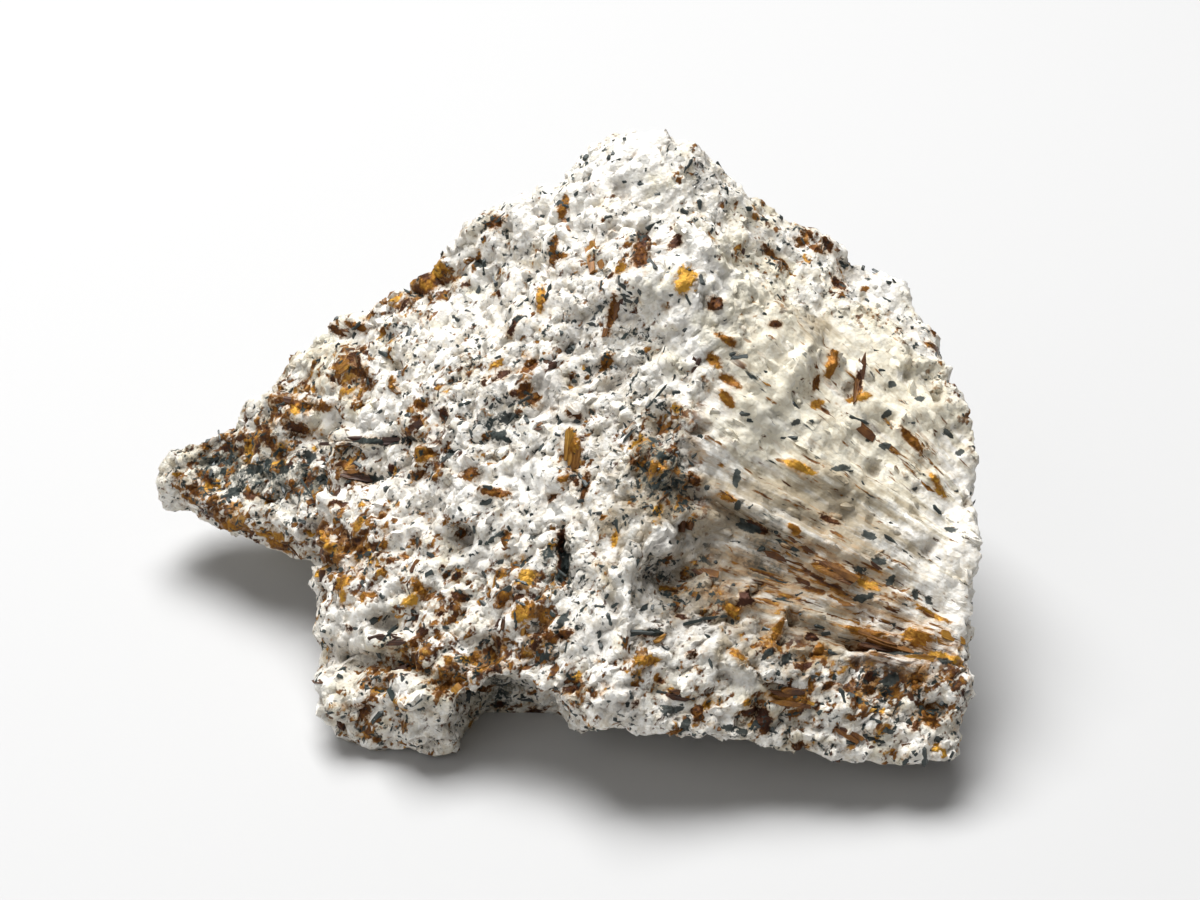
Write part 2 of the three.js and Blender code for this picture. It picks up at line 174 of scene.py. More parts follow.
# Grooves: pixel across and down at both ends, width and depth in mm
GROOVES = (
    (318, 437, 440, 441, 0.28, 0.45), (345, 476, 385, 474, 0.30, 0.5), (340, 657, 405, 662, 0.50, 0.8),
    (405, 662, 455, 690, 0.50, 0.8), (561, 528, 565, 580, 0.35, 0.9), (310, 560, 345, 572, 0.30, 0.5),
    (858, 643, 930, 653, 0.45, 0.9), (800, 622, 858, 643, 0.50, 0.6), (700, 500, 775, 532, 0.50, 0.5),
)
# Edges: pixel across and down at both ends, then in mm the reach over which the step fades out to the right,
# and how far the rock sinks there
EDGES = (
    (638, 535, 629, 640, 2.6, 0.8),
)

# Blades seen in the photograph: pixel across, pixel down, turn in degrees, length and width in mm, and tone,
# from 0 for dark red brown to 1 for bright gold
SEEN_BLADES = (
    (564, 207, 75, 2.3, 0.6, 0.45), (553, 252, 80, 2.6, 0.6, 0.40), (540, 299, 85, 2.4, 0.8, 0.75),
    (513, 325, 60, 1.8, 1.0, 0.10), (611, 314, 78, 3.2, 0.7, 0.35), (686, 279, 70, 2.2, 1.5, 0.95),
    (716, 303, 50, 1.2, 1.0, 0.15), (643, 238, 95, 1.8, 0.9, 0.10), (675, 241, 60, 1.4, 0.9, 0.10),
    (641, 257, 100, 2.2, 1.2, 0.25), (424, 263, 20, 1.5, 0.9, 0.80), (429, 278, -20, 2.2, 0.8, 0.15),
    (422, 291, -10, 1.8, 0.8, 0.30), (477, 263, 70, 1.8, 0.7, 0.50), (496, 223, 20, 1.6, 1.0, 0.30),
    (529, 366, 40, 1.6, 0.9, 0.30), (523, 390, 60, 1.4, 0.8, 0.30), (727, 338, -35, 2.4, 0.6, 0.52),
    (715, 361, -50, 1.6, 0.8, 0.66), (394, 295, 30, 1.3, 0.8, 0.85), (353, 324, -15, 2.2, 0.8, 0.40),
    (337, 331, -25, 1.8, 0.5, 0.20), (357, 371, -25, 2.2, 0.8, 0.25), (371, 382, -60, 1.3, 0.6, 0.15),
    (290, 403, -10, 4.0, 0.9, 0.35), (326, 407, -5, 1.8, 0.8, 0.40), (420, 404, 10, 1.2, 0.7, 0.35),
    (202, 443, -40, 1.5, 0.8, 0.60), (242, 438, 20, 1.4, 0.8, 0.20), (250, 461, 15, 1.5, 0.8, 0.75),
    (279, 464, -10, 1.6, 0.8, 0.75), (380, 441, 0, 8.2, 0.5, 0.15), (421, 455, 15, 1.7, 1.1, 0.60),
    (416, 474, -20, 1.5, 0.9, 0.40), (358, 475, -3, 3.0, 0.7, 0.15), (205, 476, -35, 1.8, 0.8, 0.40),
    (195, 491, -30, 1.6, 0.8, 0.30), (233, 527, -20, 2.0, 1.1, 0.60), (263, 533, -15, 1.5, 0.9, 0.75),
    (279, 536, -20, 1.4, 0.8, 0.75), (325, 540, -60, 2.6, 0.7, 0.75), (348, 546, 65, 1.4, 0.5, 0.35),
    (359, 526, 60, 1.8, 0.6, 0.70), (384, 545, 80, 1.0, 0.6, 0.45), (341, 584, 30, 1.9, 1.1, 0.70),
    (370, 598, 15, 1.6, 0.9, 0.60), (410, 600, 20, 1.2, 1.0, 1.00), (321, 619, 35, 1.2, 0.7, 0.70),
    (494, 492, -5, 2.6, 0.7, 0.35), (572, 451, 88, 3.4, 1.1, 0.70), (584, 485, 82, 2.6, 0.7, 0.30),
    (531, 398, 30, 1.3, 0.8, 0.30), (470, 474, 10, 1.6, 1.0, 0.35), (505, 540, 70, 1.5, 0.8, 0.35),
    (561, 540, 86, 2.2, 0.7, 0.05), (561, 568, 88, 2.4, 0.6, 0.05), (527, 577, 15, 1.5, 1.2, 0.95),
    (502, 596, 70, 1.8, 1.2, 0.50), (523, 614, 40, 1.5, 1.3, 0.75), (521, 599, 20, 1.2, 0.8, 0.10),
    (460, 596, -20, 1.5, 0.8, 0.15), (478, 664, 25, 1.6, 1.2, 0.60), (535, 643, 75, 1.3, 0.9, 0.15),
    (391, 678, 10, 1.4, 0.8, 0.30), (405, 703, -20, 1.3, 0.8, 0.80), (365, 710, 40, 1.2, 0.8, 0.15),
    (647, 661, -5, 2.3, 0.9, 0.75), (651, 634, 0, 2.6, 0.5, 0.15), (660, 509, 20, 0.9, 0.8, 0.80),
    (728, 497, -20, 1.5, 0.6, 0.60), (758, 529, -30, 2.3, 0.7, 0.15), (799, 467, -25, 2.8, 0.7, 0.80),
    (829, 519, -25, 2.0, 0.4, 0.15), (794, 529, -30, 1.3, 0.7, 0.60), (831, 571, -22, 3.2, 0.7, 0.50),
    (869, 585, -20, 2.0, 0.7, 0.75), (938, 486, -55, 2.4, 0.7, 0.75), (911, 440, -50, 2.7, 0.8, 0.40),
    (932, 614, -25, 3.4, 0.5, 0.70), (866, 631, -15, 3.4, 0.7, 0.55), (884, 645, -5, 4.6, 0.8, 0.15),
    (917, 636, -15, 2.4, 1.1, 0.65), (945, 656, -20, 2.3, 0.8, 0.85), (869, 677, 30, 1.2, 1.0, 0.10),
    (869, 690, 5, 1.4, 0.7, 0.30), (916, 679, 80, 2.0, 0.9, 0.35), (813, 634, 20, 1.0, 0.9, 0.05),
    (819, 650, 70, 1.6, 0.8, 0.50), (779, 629, 65, 2.6, 0.8, 0.60), (750, 596, 35, 1.7, 1.5, 0.00),
    (737, 609, -30, 1.2, 0.7, 0.70), (737, 654, -35, 1.6, 0.7, 0.60), (792, 698, -10, 3.0, 1.1, 0.50),
    (746, 702, 10, 0.9, 0.7, 0.75), (708, 705, 10, 0.9, 0.7, 0.85), (770, 250, -35, 2.2, 0.5, 0.30),
    (784, 261, -40, 1.5, 0.8, 0.35), (802, 240, -35, 1.3, 0.7, 0.30), (775, 325, 10, 1.3, 0.7, 0.20),
    (833, 363, 80, 2.6, 0.8, 0.55), (860, 378, 85, 3.0, 0.5, 0.10), (859, 397, 5, 1.9, 0.7, 0.75),
    (816, 383, 60, 1.5, 0.7, 0.40), (817, 404, 30, 1.2, 0.8, 0.70), (933, 350, -45, 2.2, 0.8, 0.35),
    (730, 382, -35, 2.0, 0.7, 0.52), (727, 399, -55, 1.7, 0.8, 0.60),
)

# Needles seen in the photograph: pixel across, pixel down, turn in degrees, length and width in mm
SEEN_NEEDLES = (
    (907, 553, -40, 4.4, 0.35), (715, 617, 2, 2.0, 0.25), (693, 621, 10, 2.0, 0.30),
    (667, 693, -15, 1.9, 0.35), (354, 338, 85, 1.1, 0.35), (640, 632, 0, 2.6, 0.35),
)

# Flush dark marks seen in the photograph: pixel across, pixel down, turn in degrees, length and width in mm
SEEN_MARKS = (
    (840, 469, 10, 2.0, 0.55), (885, 446, -10, 1.0, 0.35), (893, 383, 25, 0.8, 0.5),
    (887, 414, 35, 0.9, 0.5), (947, 432, -5, 0.8, 0.35), (960, 452, 30, 0.8, 0.4),
    (921, 397, -10, 0.9, 0.4), (870, 438, 15, 0.7, 0.4), (950, 530, -15, 1.0, 0.35),
    (862, 570, -15, 1.4, 0.5), (880, 560, -20, 1.2, 0.4), (893, 580, 50, 1.2, 0.45),
    (865, 597, 10, 1.8, 0.4), (917, 594, -60, 0.9, 0.4), (930, 600, -50, 0.9, 0.45),
    (890, 627, 35, 1.0, 0.35), (870, 535, -25, 1.2, 0.35), (737, 478, 85, 1.5, 0.45),
    (738, 505, 60, 1.0, 0.35), (795, 423, 30, 0.7, 0.5), (785, 660, 60, 1.4, 0.8),
    (767, 655, 45, 1.2, 0.4), (890, 680, 20, 1.7, 0.9), (945, 661, -20, 1.2, 0.35),
    (672, 710, 10, 1.8, 0.5), (685, 725, 55, 1.6, 0.4), (735, 730, -15, 2.2, 0.6),
    (655, 633, -3, 2.2, 0.4), (564, 555, 88, 2.6, 0.5), (565, 618, 60, 1.4, 0.6), (392, 424, 0, 0.5, 0.5),
    (433, 432, 0, 0.5, 0.5), (408, 392, 20, 0.5, 0.4), (445, 459, 15, 1.5, 0.4), (533, 538, 0, 1.0, 0.6),
    (325, 480, -10, 1.2, 0.9), (238, 490, 10, 2.2, 0.9), (255, 470, 0, 2.0, 0.9), (285, 470, 0, 1.6, 0.8),
    (310, 456, -20, 1.5, 0.9), (620, 137, 10, 0.9, 0.45), (606, 151, 0, 0.8, 0.5),
    (588, 180, 50, 1.2, 0.6), (480, 264, -20, 1.2, 0.8), (508, 418, 30, 1.6, 1.0),
    (500, 436, 10, 1.4, 0.8), (379, 441, 0, 8.6, 0.35), (365, 475, 2, 3.0, 0.4),
    (750, 530, -12, 2.2, 0.7), (895, 650, -6, 4.6, 0.5),
)


def unit(vectors):
    """The same directions, each one long."""
    return vectors / np.linalg.norm(vectors, axis=-1, keepdims=True)


def smooth_step(values, low, high):
    """0 below low, 1 above high, and a soft rise between."""
    rise = np.clip((values - low) / (high - low), 0, 1)
    return rise * rise * (3 - 2 * rise)


def laid(along, normals):
    """The directions, turned to lie along faces with these normals."""
    return unit(along - normals * np.sum(along * normals, axis=1, keepdims=True))


# Constants that shift each noise by its seed and hash a grain's middle
NOISE_SHIFT = Vector((17.3, -9.1, 5.7))
HASH_FACTORS = np.array((12.9898, 78.233, 37.719))
HASH_SEED = 3.17
HASH_SCALE = 43758.5453


def noises(points, size, seed):
    """A soft random value for each point, with features of about that size."""
    shift = NOISE_SHIFT * seed
    return np.array([noise.noise(Vector(point) + shift) for point in (points / size).tolist()])


def grain_middles(points):
    """The middle of the grain that each point lies in."""
    return np.array([noise.voronoi(point)[1][0][:] for point in points.tolist()])


def chance(middles, seed):
    """One fixed random value from 0 to 1 for each grain."""
    mixed = middles @ HASH_FACTORS + seed * HASH_SEED
    return np.modf(np.abs(np.sin(mixed)) * HASH_SCALE)[0]


class Surface:
    """The rock's skin: triangles on which crystals are seated and scattered."""

    NORMAL_SHARES = [0.6] * 14
    # The most edge-on that a face counts as seen, as the cosine between the line of sight and its normal
    EDGE_ON = -0.25
    # From where to where a face counts as turned away from the photograph, and the strength of a spot there
    AWAY_RANGE = (0.0, 0.3)
    HIDDEN_STRENGTH = (0.5, 1.0)
    LEAST_SHARE = 1e-6

    def __init__(self, places, triangles, fields=None):
        self.places = places
        self.triangles = triangles
        self.fields = fields or {}
        corners = places[triangles]
        cross = np.cross(corners[:, 1] - corners[:, 0], corners[:, 2] - corners[:, 0])
        self.areas = np.linalg.norm(cross, axis=1) / 2
        pairs = np.concatenate([triangles[:, [0, 1]], triangles[:, [1, 2]], triangles[:, [2, 0]]])
        pairs.sort(axis=1)
        self.edges = np.unique(pairs, axis=0)
        normals = np.zeros_like(places)
        for corner in range(3):
            np.add.at(normals, triangles[:, corner], cross)
        self.facing = unit(self.averaged(unit(normals), self.NORMAL_SHARES))
        self.tree = BVHTree.FromPolygons(places.tolist(), triangles.tolist())

    def averaged(self, values, shares):
        """The values after one round for each share, which pulls every point towards its neighbours."""
        first, second = self.edges.T
        size = len(self.places)
        neighbours = np.bincount(self.edges.ravel(), minlength=size)
        for share in shares:
            total = np.empty_like(values)
            for axis in range(values.shape[1]):
                column = values[:, axis]
                total[:, axis] = np.bincount(first, column[second], size)
                total[:, axis] += np.bincount(second, column[first], size)
            values = values + share * (total / neighbours[:, None] - values)
        return values

    def seat(self, across, down, turn=0):
        """Where the line of sight through a pixel meets the rock, the way it faces there, and the direction
        on the rock that looks turned that many degrees in the photograph."""
        ray = AHEAD * FOCAL_PIXELS + RIGHT * (across - PHOTO_SIZE[0] / 2)
        ray = unit(ray + UP * (PHOTO_SIZE[1] / 2 - down))
        hit, _, face, _ = self.tree.ray_cast(Vector(EYE), Vector(ray))
        if hit is None:
            reach = float(np.dot(self.places.mean(axis=0) - EYE, ray))
            hit, _, face, _ = self.tree.find_nearest(Vector(EYE + ray * reach))
        normal = unit(self.facing[self.triangles[face]].mean(axis=0))
        seen = RIGHT * math.cos(math.radians(turn)) + UP * math.sin(math.radians(turn))
        lean = -np.dot(seen, normal) / min(np.dot(ray, normal), self.EDGE_ON)
        return np.array(hit), normal, unit(seen + ray * lean - normal * np.dot(seen + ray * lean, normal))

    def seats(self, rows):
        """Places, facings and directions for rows that start with a pixel across and down and a turn."""
        return [np.array(column) for column in zip(*(self.seat(*row[:3]) for row in rows))]

    def scatter(self, draw, count, share):
        """Random places on the rock, denser where share is high, with its facing and its fields there."""
        weight = self.areas * share[self.triangles].mean(axis=1)
        chosen = self.triangles[draw.choice(len(weight), size=count, p=weight / weight.sum())]
        parts = draw.dirichlet((1, 1, 1), size=count)[:, :, None]
        points = (self.places[chosen] * parts).sum(axis=1)
        normals = unit((self.facing[chosen] * parts).sum(axis=1))
        shares = parts[:, :, 0]
        fields = {name: (values[chosen] * shares).sum(axis=1) for name, values in self.fields.items()}
        return points, normals, fields

    def pixels(self):
        """The pixel across and down at which each point is seen, and the length of one pixel there."""
        away = self.places - EYE
        size = away @ AHEAD / FOCAL_PIXELS
        return PHOTO_SIZE[0] / 2 + away @ RIGHT / size, PHOTO_SIZE[1] / 2 - away @ UP / size, size

    def zone(self, spots):
        """How far each point of the rock lies in a zone, 1 or more where its spots are strong."""
        total = np.zeros(len(self.places))
        for across, down, radius, strength in spots:
            total += strength * self.glow(self.seat(across, down)[0], radius * MM)
        return total

    def glow(self, middle, radius):
        """A soft spot on the rock, 1 at its middle."""
        return np.exp(-np.sum((self.places - middle) ** 2, axis=1) / radius**2)

    def unseen(self, draw, count, radii):
        """A zone of random spots on the sides that the photograph hides."""
        away = smooth_step(self.facing @ unit(self.places.mean(axis=0) - EYE), *self.AWAY_RANGE)
        middles, _, _ = self.scatter(draw, count, away + self.LEAST_SHARE)
        total = np.zeros(len(self.places))
        for middle in middles:
            total += draw.uniform(*self.HIDDEN_STRENGTH) * self.glow(middle, draw.uniform(*radii) * MM)
        return total


def towards_focus(points, normals):
    """The direction of the fibres at each point, along the rock's surface."""
    return laid(FAN_FOCUS - points, normals)


def fan_places(points, length, width):
    """Places in the fan of fibres, in fibre lengths along it and fibre widths across it."""
    spoke = unit(FAN_MIDDLE - FAN_FOCUS)
    across = unit(np.cross(FAN_FACING, spoke))
    depth = np.cross(spoke, across)
    reach = np.linalg.norm(FAN_MIDDLE - FAN_FOCUS)
    away = points - FAN_FOCUS
    ahead = away @ spoke
    rows = (
        np.linalg.norm(away, axis=1) / length,
        np.arctan2(away @ across, ahead) * reach / width,
        np.arctan2(away @ depth, ahead) * reach / width,
    )
    return np.stack(rows, axis=1)


def mesh_arrays(mesh):
    """A mesh's points and its triangles."""
    mesh.calc_loop_triangles()
    places = np.empty(len(mesh.vertices) * 3, np.float32)
    mesh.vertices.foreach_get("co", places)
    triangles = np.empty(len(mesh.loop_triangles) * 3, np.int32)
    mesh.loop_triangles.foreach_get("vertices", triangles)
    return places.reshape(-1, 3), triangles.reshape(-1, 3)


def joined_mesh(name, places, triangles, numbers=None, smooth_angle=None):
    """One mesh of triangles, with its values kept at its points."""
    mesh = bpy.data.meshes.new(name)
    mesh.vertices.add(len(places))
    mesh.vertices.foreach_set("co", np.ascontiguousarray(places, np.float32).ravel())
    mesh.loops.add(triangles.size)
    mesh.loops.foreach_set("vertex_index", np.ascontiguousarray(triangles, np.int32).ravel())
    mesh.polygons.add(len(triangles))
    mesh.polygons.foreach_set("loop_start", np.arange(0, triangles.size, 3, dtype=np.int32))
    mesh.update(calc_edges=True)
    for key, values in (numbers or {}).items():
        layer = mesh.attributes.new(key, "FLOAT", "POINT")
        layer.data.foreach_set("value", np.ascontiguousarray(values, np.float32))
    if smooth_angle is None:
        mesh.shade_flat()
    else:
        mesh.shade_smooth()
        mesh.set_sharp_from_angle(angle=smooth_angle)
    return mesh


def piece_of(mesh, material):
    """A piece of the specimen made of that mesh, which rides with the rock."""
    piece = bpy.data.objects.new(mesh.name, mesh)
    bpy.context.scene.collection.objects.link(piece)
    mesh.materials.append(material)
    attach(piece, "root")
    return piece


def stamped(shapes, turns, points):
    """Copies of a shape, each with its own corners, turned by its own directions and set at its point."""
    return np.einsum("nvi,nij->nvj", shapes, turns) + points[:, None, :]


def copied_triangles(triangles, count, corners):
    """The triangles of that many copies of a shape."""
    return (triangles[None] + (np.arange(count) * corners)[:, None, None]).reshape(-1, 3)


def above_table(places):
    """The same places, with none below the table."""
    lifted = places.copy()
    lifted[..., 2] = np.maximum(lifted[..., 2], 0)
    return lifted


def leaning(draw, normals, amount):
    """Directions close to the normals."""
    return unit(normals + draw.normal(0, amount, normals.shape))


def turns_of(along, normals):
    """Three directions for each crystal: its length, its width and its outward face."""
    width = unit(np.cross(normals, along))
    return np.stack([along, width, np.cross(along, width)], axis=1)


class Wire:
    """The value of one socket, so that sums of sockets read as plain expressions."""

    def __init__(self, finish, socket):
        self.finish = finish
        self.socket = socket

    def __add__(self, other):
        return self.finish.sum("ADD", self, other)

    def __radd__(self, other):
        return self.finish.sum("ADD", other, self)

    def __sub__(self, other):
        return self.finish.sum("SUBTRACT", self, other)

    def __rsub__(self, other):
        return self.finish.sum("SUBTRACT", other, self)

    def __mul__(self, other):
        return self.finish.sum("MULTIPLY", self, other)

    def __rmul__(self, other):
        return self.finish.sum("MULTIPLY", other, self)


class Finish:
    """A procedural material and the nodes that colour it."""

    def __init__(self, name):
        self.material = bpy.data.materials.new(name)
        self.material.use_nodes = True
        self.tree = self.material.node_tree
        self.shader = self.tree.nodes["Principled BSDF"]

    def node(self, kind, settings=None, inputs=None, output=0):
        """One output of a new node, after its settings and then its inputs are set."""
        made = self.tree.nodes.new(kind)
        for key, value in (settings or {}).items():
            if key == "stops":
                self.set_stops(made.color_ramp, value)
            else:
                setattr(made, key, value)
        for key, value in (inputs or {}).items():
            self.plug(made.inputs[key], value)
        return Wire(self, made.outputs[output])

    def plug(self, socket, value):
        """Links a wire to a socket, or sets the socket's own value."""
        if isinstance(value, Wire):
            self.tree.links.new(value.socket, socket)
        else:
            socket.default_value = value

    def surface(self, **values):
        """Feeds the shader's sockets, named with underscores for spaces."""
        for key, value in values.items():
            self.plug(self.shader.inputs[key.replace("_", " ").title()], value)

    @staticmethod
    def set_stops(ramp, stops):
        """Puts these places and colours on a colour ramp."""
        while len(ramp.elements) < len(stops):
            ramp.elements.new(0.5)
        for element, (place, colour) in zip(ramp.elements, stops):
            element.position = place
            element.color = colour

    def sum(self, operation, first, second):
        """One Math node."""
        return self.node("ShaderNodeMath", {"operation": operation}, {0: first, 1: second})

    def blend(self, mask, first, second, mode="MIX"):
        """The first colour, and the second one where the mask is 1."""
        settings = {"data_type": "RGBA", "blend_type": mode}
        return self.node("ShaderNodeMix", settings, {0: mask, 6: first, 7: second}, output=2)

    def ramp(self, value, stops):
        """The colour that a ramp gives to a value."""
        return self.node("ShaderNodeValToRGB", {"stops": stops}, {0: value})

    def layer(self, name, amount):
        """The mask of one layer of colour, which rises with the amount."""
        start, full, strength = LAYERS[name]
        return self.rise(amount, start, full) * strength

    def tinted(self, base, name, amount, tint):
        """The base with the tint of one layer over it."""
        return self.blend(self.layer(name, amount), base, colour(tint))

    def rise(self, value, low, high):
        """0 below low, 1 above high, and a soft rise between."""
        return self.node(
            "ShaderNodeMapRange",
            {"interpolation_type": "SMOOTHSTEP"},
            {"Value": value, "From Min": low, "From Max": high},
        )

    def kept(self, name):
        """A value kept at the mesh's points."""
        return self.node("ShaderNodeAttribute", {"attribute_name": name}, output="Fac")

    def place(self):
        """The place on the piece, in metres."""
        return self.node("ShaderNodeTexCoord", output="Object")

    def clouds(self, size, detail=3.0, place=None, output=0):
        """Soft random values, or colours, with features of about that size."""
        inputs = {"Vector": place or self.place(), "Scale": 1 / size, "Detail": detail}
        inputs["Roughness"] = CLOUD_ROUGHNESS
        return self.node("ShaderNodeTexNoise", inputs=inputs, output=output)

    def stretch(self, vector, factors):
        """A vector with each part multiplied by its own factor."""
        return self.node("ShaderNodeVectorMath", {"operation": "MULTIPLY"}, {0: vector, 1: factors})

    def bump(self, height, depth, strength):
        """A normal tilted by the slopes of a height."""
        inputs = {"Height": height, "Distance": depth, "Strength": strength}
        return self.node("ShaderNodeBump", inputs=inputs, output="Normal")


def colour(values):
    """A colour with its full opacity."""
    return (*values, 1.0)


def size_setting(name, description, default_mm):
    """A length that a user can change."""
    return FloatProperty(name=name, description=description, default=default_mm * MM, min=0, unit="LENGTH")


def colour_setting(name, description, default):
    """A colour that a user can change."""
    return FloatVectorProperty(
        name=name, description=description, default=default, min=0, max=1, size=3, subtype="COLOR"
    )


def light_setting(name, description, default, kind="NONE"):
    """A strength of light that a user can change."""
    return FloatProperty(name=name, description=description, default=default, min=0, unit=kind)


def count_setting(name, description, default):
    """A number of crystals that a user can change."""
    return IntProperty(name=name, description=description, default=default, min=0)


class SpecimenRock(PropertyGroup):
    """Sizes of the rock's broken surface."""

    mesh_step: size_setting("Mesh step", "Spacing of the surface's points", 0.33)
    lump_height: size_setting("Lump height", "How far the broad lumps stand out", 0.40)
    lump_width: size_setting("Lump width", "Width of the broad lumps", 4.2)
    facet_width: size_setting("Facet width", "Width of the larger broken facets", 3.0)
    facet_step: size_setting("Facet step", "How far one facet stands above the next", 0.60)
    puff_width: size_setting("Puff width", "Width of the rounded lumps of grains", 1.6)
    puff_height: size_setting("Puff height", "Height of the rounded lumps of grains", 0.72)
    roughness: size_setting("Roughness", "Height of the fine roughness", 0.16)
    pit_depth: size_setting("Pit depth", "Depth of the small pits", 0.7)
    crevice_depth: size_setting("Crevice depth", "Depth of the gaps between the lumps", 0.20)
    fibre_length: size_setting("Fibre length", "Length of the fibrous grains", 8.0)
    fibre_width: size_setting("Fibre width", "Width of the fibrous grains", 0.9)
    fibre_height: size_setting("Fibre height", "How far the fibrous grains stand out", 0.38)


class SpecimenCrystals(PropertyGroup):
    """Numbers and sizes of the grains, blades and needles on the rock."""

    grain_count: count_setting("Grains", "Number of feldspar grains", 6500)
    grain_width: size_setting("Grain width", "Usual width of a standing feldspar grain", 0.70)
    stain_count: count_setting("Flush blades", "Number of small blades flush with the rock", 520)
    blade_count: count_setting("Small blades", "Number of small standing astrophyllite blades", 160)
    blade_length: size_setting("Small blade length", "Usual length of a small blade", 1.0)
    lath_width: size_setting("Lath width", "Usual width of one lath of a blade", 0.30)
    needle_count: count_setting("Needles", "Number of aegirine needles", 1700)
    needle_length: size_setting("Needle length", "Usual length of a needle", 0.72)
    needle_width: size_setting("Needle width", "Usual width of a needle", 0.30)


class SpecimenColours(PropertyGroup):
    """Colours of the minerals, of the dirt, and of the painted shade between the grains and in the pits."""

    white: colour_setting("White", "White feldspar", (0.94, 0.925, 0.88))
    cream: colour_setting("Cream", "Cream feldspar", (0.83, 0.79, 0.66))
    beige: colour_setting("Beige", "Mottle of the feldspar", (0.60, 0.52, 0.38))
    shade: colour_setting("Shade", "Warm shade between the grains", (0.78, 0.69, 0.56))
    # In the glassy zones, this grey and the murky brown grey below are partly painted shade
    glassy: colour_setting("Glassy", "Grey glassy feldspar", (0.45, 0.445, 0.41))
    rosy: colour_setting("Rosy", "Feldspar stained by rust", (0.46, 0.28, 0.13))
    rust: colour_setting("Rust", "Rust stain", (0.22, 0.085, 0.025))
    # Painted shade in the pits, crevices, hollows and grooves, with some dirt
    shade_and_dirt: colour_setting("Dirt", "Dirt in the pits", (0.12, 0.08, 0.045))
    murky: colour_setting("Murky", "Brown grey glassy patches", (0.30, 0.225, 0.125))
    smudge: colour_setting("Smudge", "Fine dark grains mixed with feldspar", (0.12, 0.12, 0.095))
    black: colour_setting("Black", "Black aegirine", (0.012, 0.015, 0.016))
    green: colour_setting("Green", "Green tint of thin aegirine", (0.045, 0.060, 0.055))
    dark_blade: colour_setting("Dark blade", "Dark red brown blades", (0.045, 0.016, 0.008))
    brown_blade: colour_setting("Brown blade", "Brown blades", (0.12, 0.044, 0.008))
    bronze_blade: colour_setting("Bronze blade", "Bronze blades", (0.27, 0.115, 0.016))
    gold_blade: colour_setting("Gold blade", "Gold blades", (0.52, 0.28, 0.040))


class SpecimenStage(PropertyGroup):
    """The floor and the lights."""

    floor: colour_setting("Floor", "Plain pale floor", (0.50, 0.50, 0.50))
    key_power: light_setting("Key light", "Power of the broad light overhead", 5.6, "POWER")
    fill_power: light_setting("Fill light", "Power of the light from the front", 1.1, "POWER")
    ambient: light_setting("Ambient", "Strength of the light from all round", 0.17)


# Layers of colour on the feldspar: the amounts at which each one starts and is full, and its strength
LAYERS = {
    "cream": (0.52, 0.74, 1.0),
    "glassy grains": (0.74, 0.80, 0.45),
    "glassy": (0.56, 0.78, 0.80),
    "mottle": (0.46, 0.70, 0.52),
    "murky": (0.58, 0.76, 0.65),
    "rosy": (0.59, 0.80, 0.65),
    "rust": (0.71, 0.85, 0.80),
    # The painted shade and dirt in the pits, crevices, hollows and grooves
    "shade_and_dirt": (0.30, 0.60, 0.70),
    "smudge": (0.62, 0.76, 0.85),
    "specks": (0.59, 0.68, 1.0),
    "blade rim": (0.12, 0.50, 0.55),
    "blade": (0.36, 0.60, 1.0),
    "inked": (0.34, 0.56, 0.95),
}
# Widths of the feldspar's soft noises
BROAD = 2.6 * MM
MIDDLING = 1.1 * MM
MOTTLE = 0.75 * MM
WANDER = 0.55 * MM
ROUGH = 0.42 * MM
FINE = 0.30 * MM
# The same noises in the fan, in fibres
FAN_BROAD = 1.0
FAN_MIDDLING = 0.45
FAN_FINE = 0.22
CLOUD_ROUGHNESS = 0.6
# How far the specks' outlines wander, and how high the fine roughness stands
WANDER_REACH = 0.5 * MM
ROUGH_HEIGHT = 0.20 * MM
SUGAR_WIDTH = 0.62 * MM
GRAIN_CONTRAST = 0.20
# The painted light on the grains and the painted shade between them, as a factor and as a range of the fine
# noise
BRIGHT = (1.14, 1.14, 1.14, 1.0)
SHADE_RANGE = (0.32, 0.66)
FELDSPAR_SPECULAR = 0.22
# Specks: turns of their layers in degrees about the three axes, width and stretch of their cells, and cells
# to a fibre's length and width in the fan
BLACK_SPECKS = {
    "turns": ((20, 35, 10), (75, -20, 60), (-35, 50, 120)),
    "width": 0.58 * MM,
    "stretch": 2.3,
    "fan_cells": (3.6, 2.2, 2.2),
}
BROWN_SPECKS = {
    "turns": ((10, -40, 25), (60, 30, 95), (-50, 70, 150)),
    "width": 0.78 * MM,
    "stretch": 2.0,
    "fan_cells": (2.4, 2.0, 2.0),
}
# Places of the four blade colours on a ramp, dark to gold, for flush and for standing blades
FLUSH_STOPS = (0.08, 0.36, 0.64, 0.94)
STANDING_STOPS = (0.05, 0.35, 0.65, 1.0)
FAN_PLACES = ("fan_along", "fan_across", "fan_depth")
# Stripes and worn patches of the standing blades, and streaks and grain of the needles
STRIPE_WIDTH = 0.09 * MM
STRIPE_DEPTH = 0.04 * MM
WORN_WIDTH = 0.5 * MM
STREAK_WIDTH = 0.4 * MM
NEEDLE_GRAIN = 0.15 * MM
NEEDLE_DEPTH = 0.03 * MM


def blade_tones(colours, places):
    """Stops of a ramp through the colours of the blades."""
    tints = (colours.dark_blade, colours.brown_blade, colours.bronze_blade, colours.gold_blade)
    return [(place, colour(tint)) for place, tint in zip(places, tints)]


def towards(first, second, share):
    """The first value, moved that share of the way to the second."""
    return first + (second - first) * share


def specks(finish, place, more):
    """1 inside ragged specks, which are larger and closer together where more is higher."""
    return finish.layer("specks", finish.clouds(1.0, detail=2.5, place=place) + more)


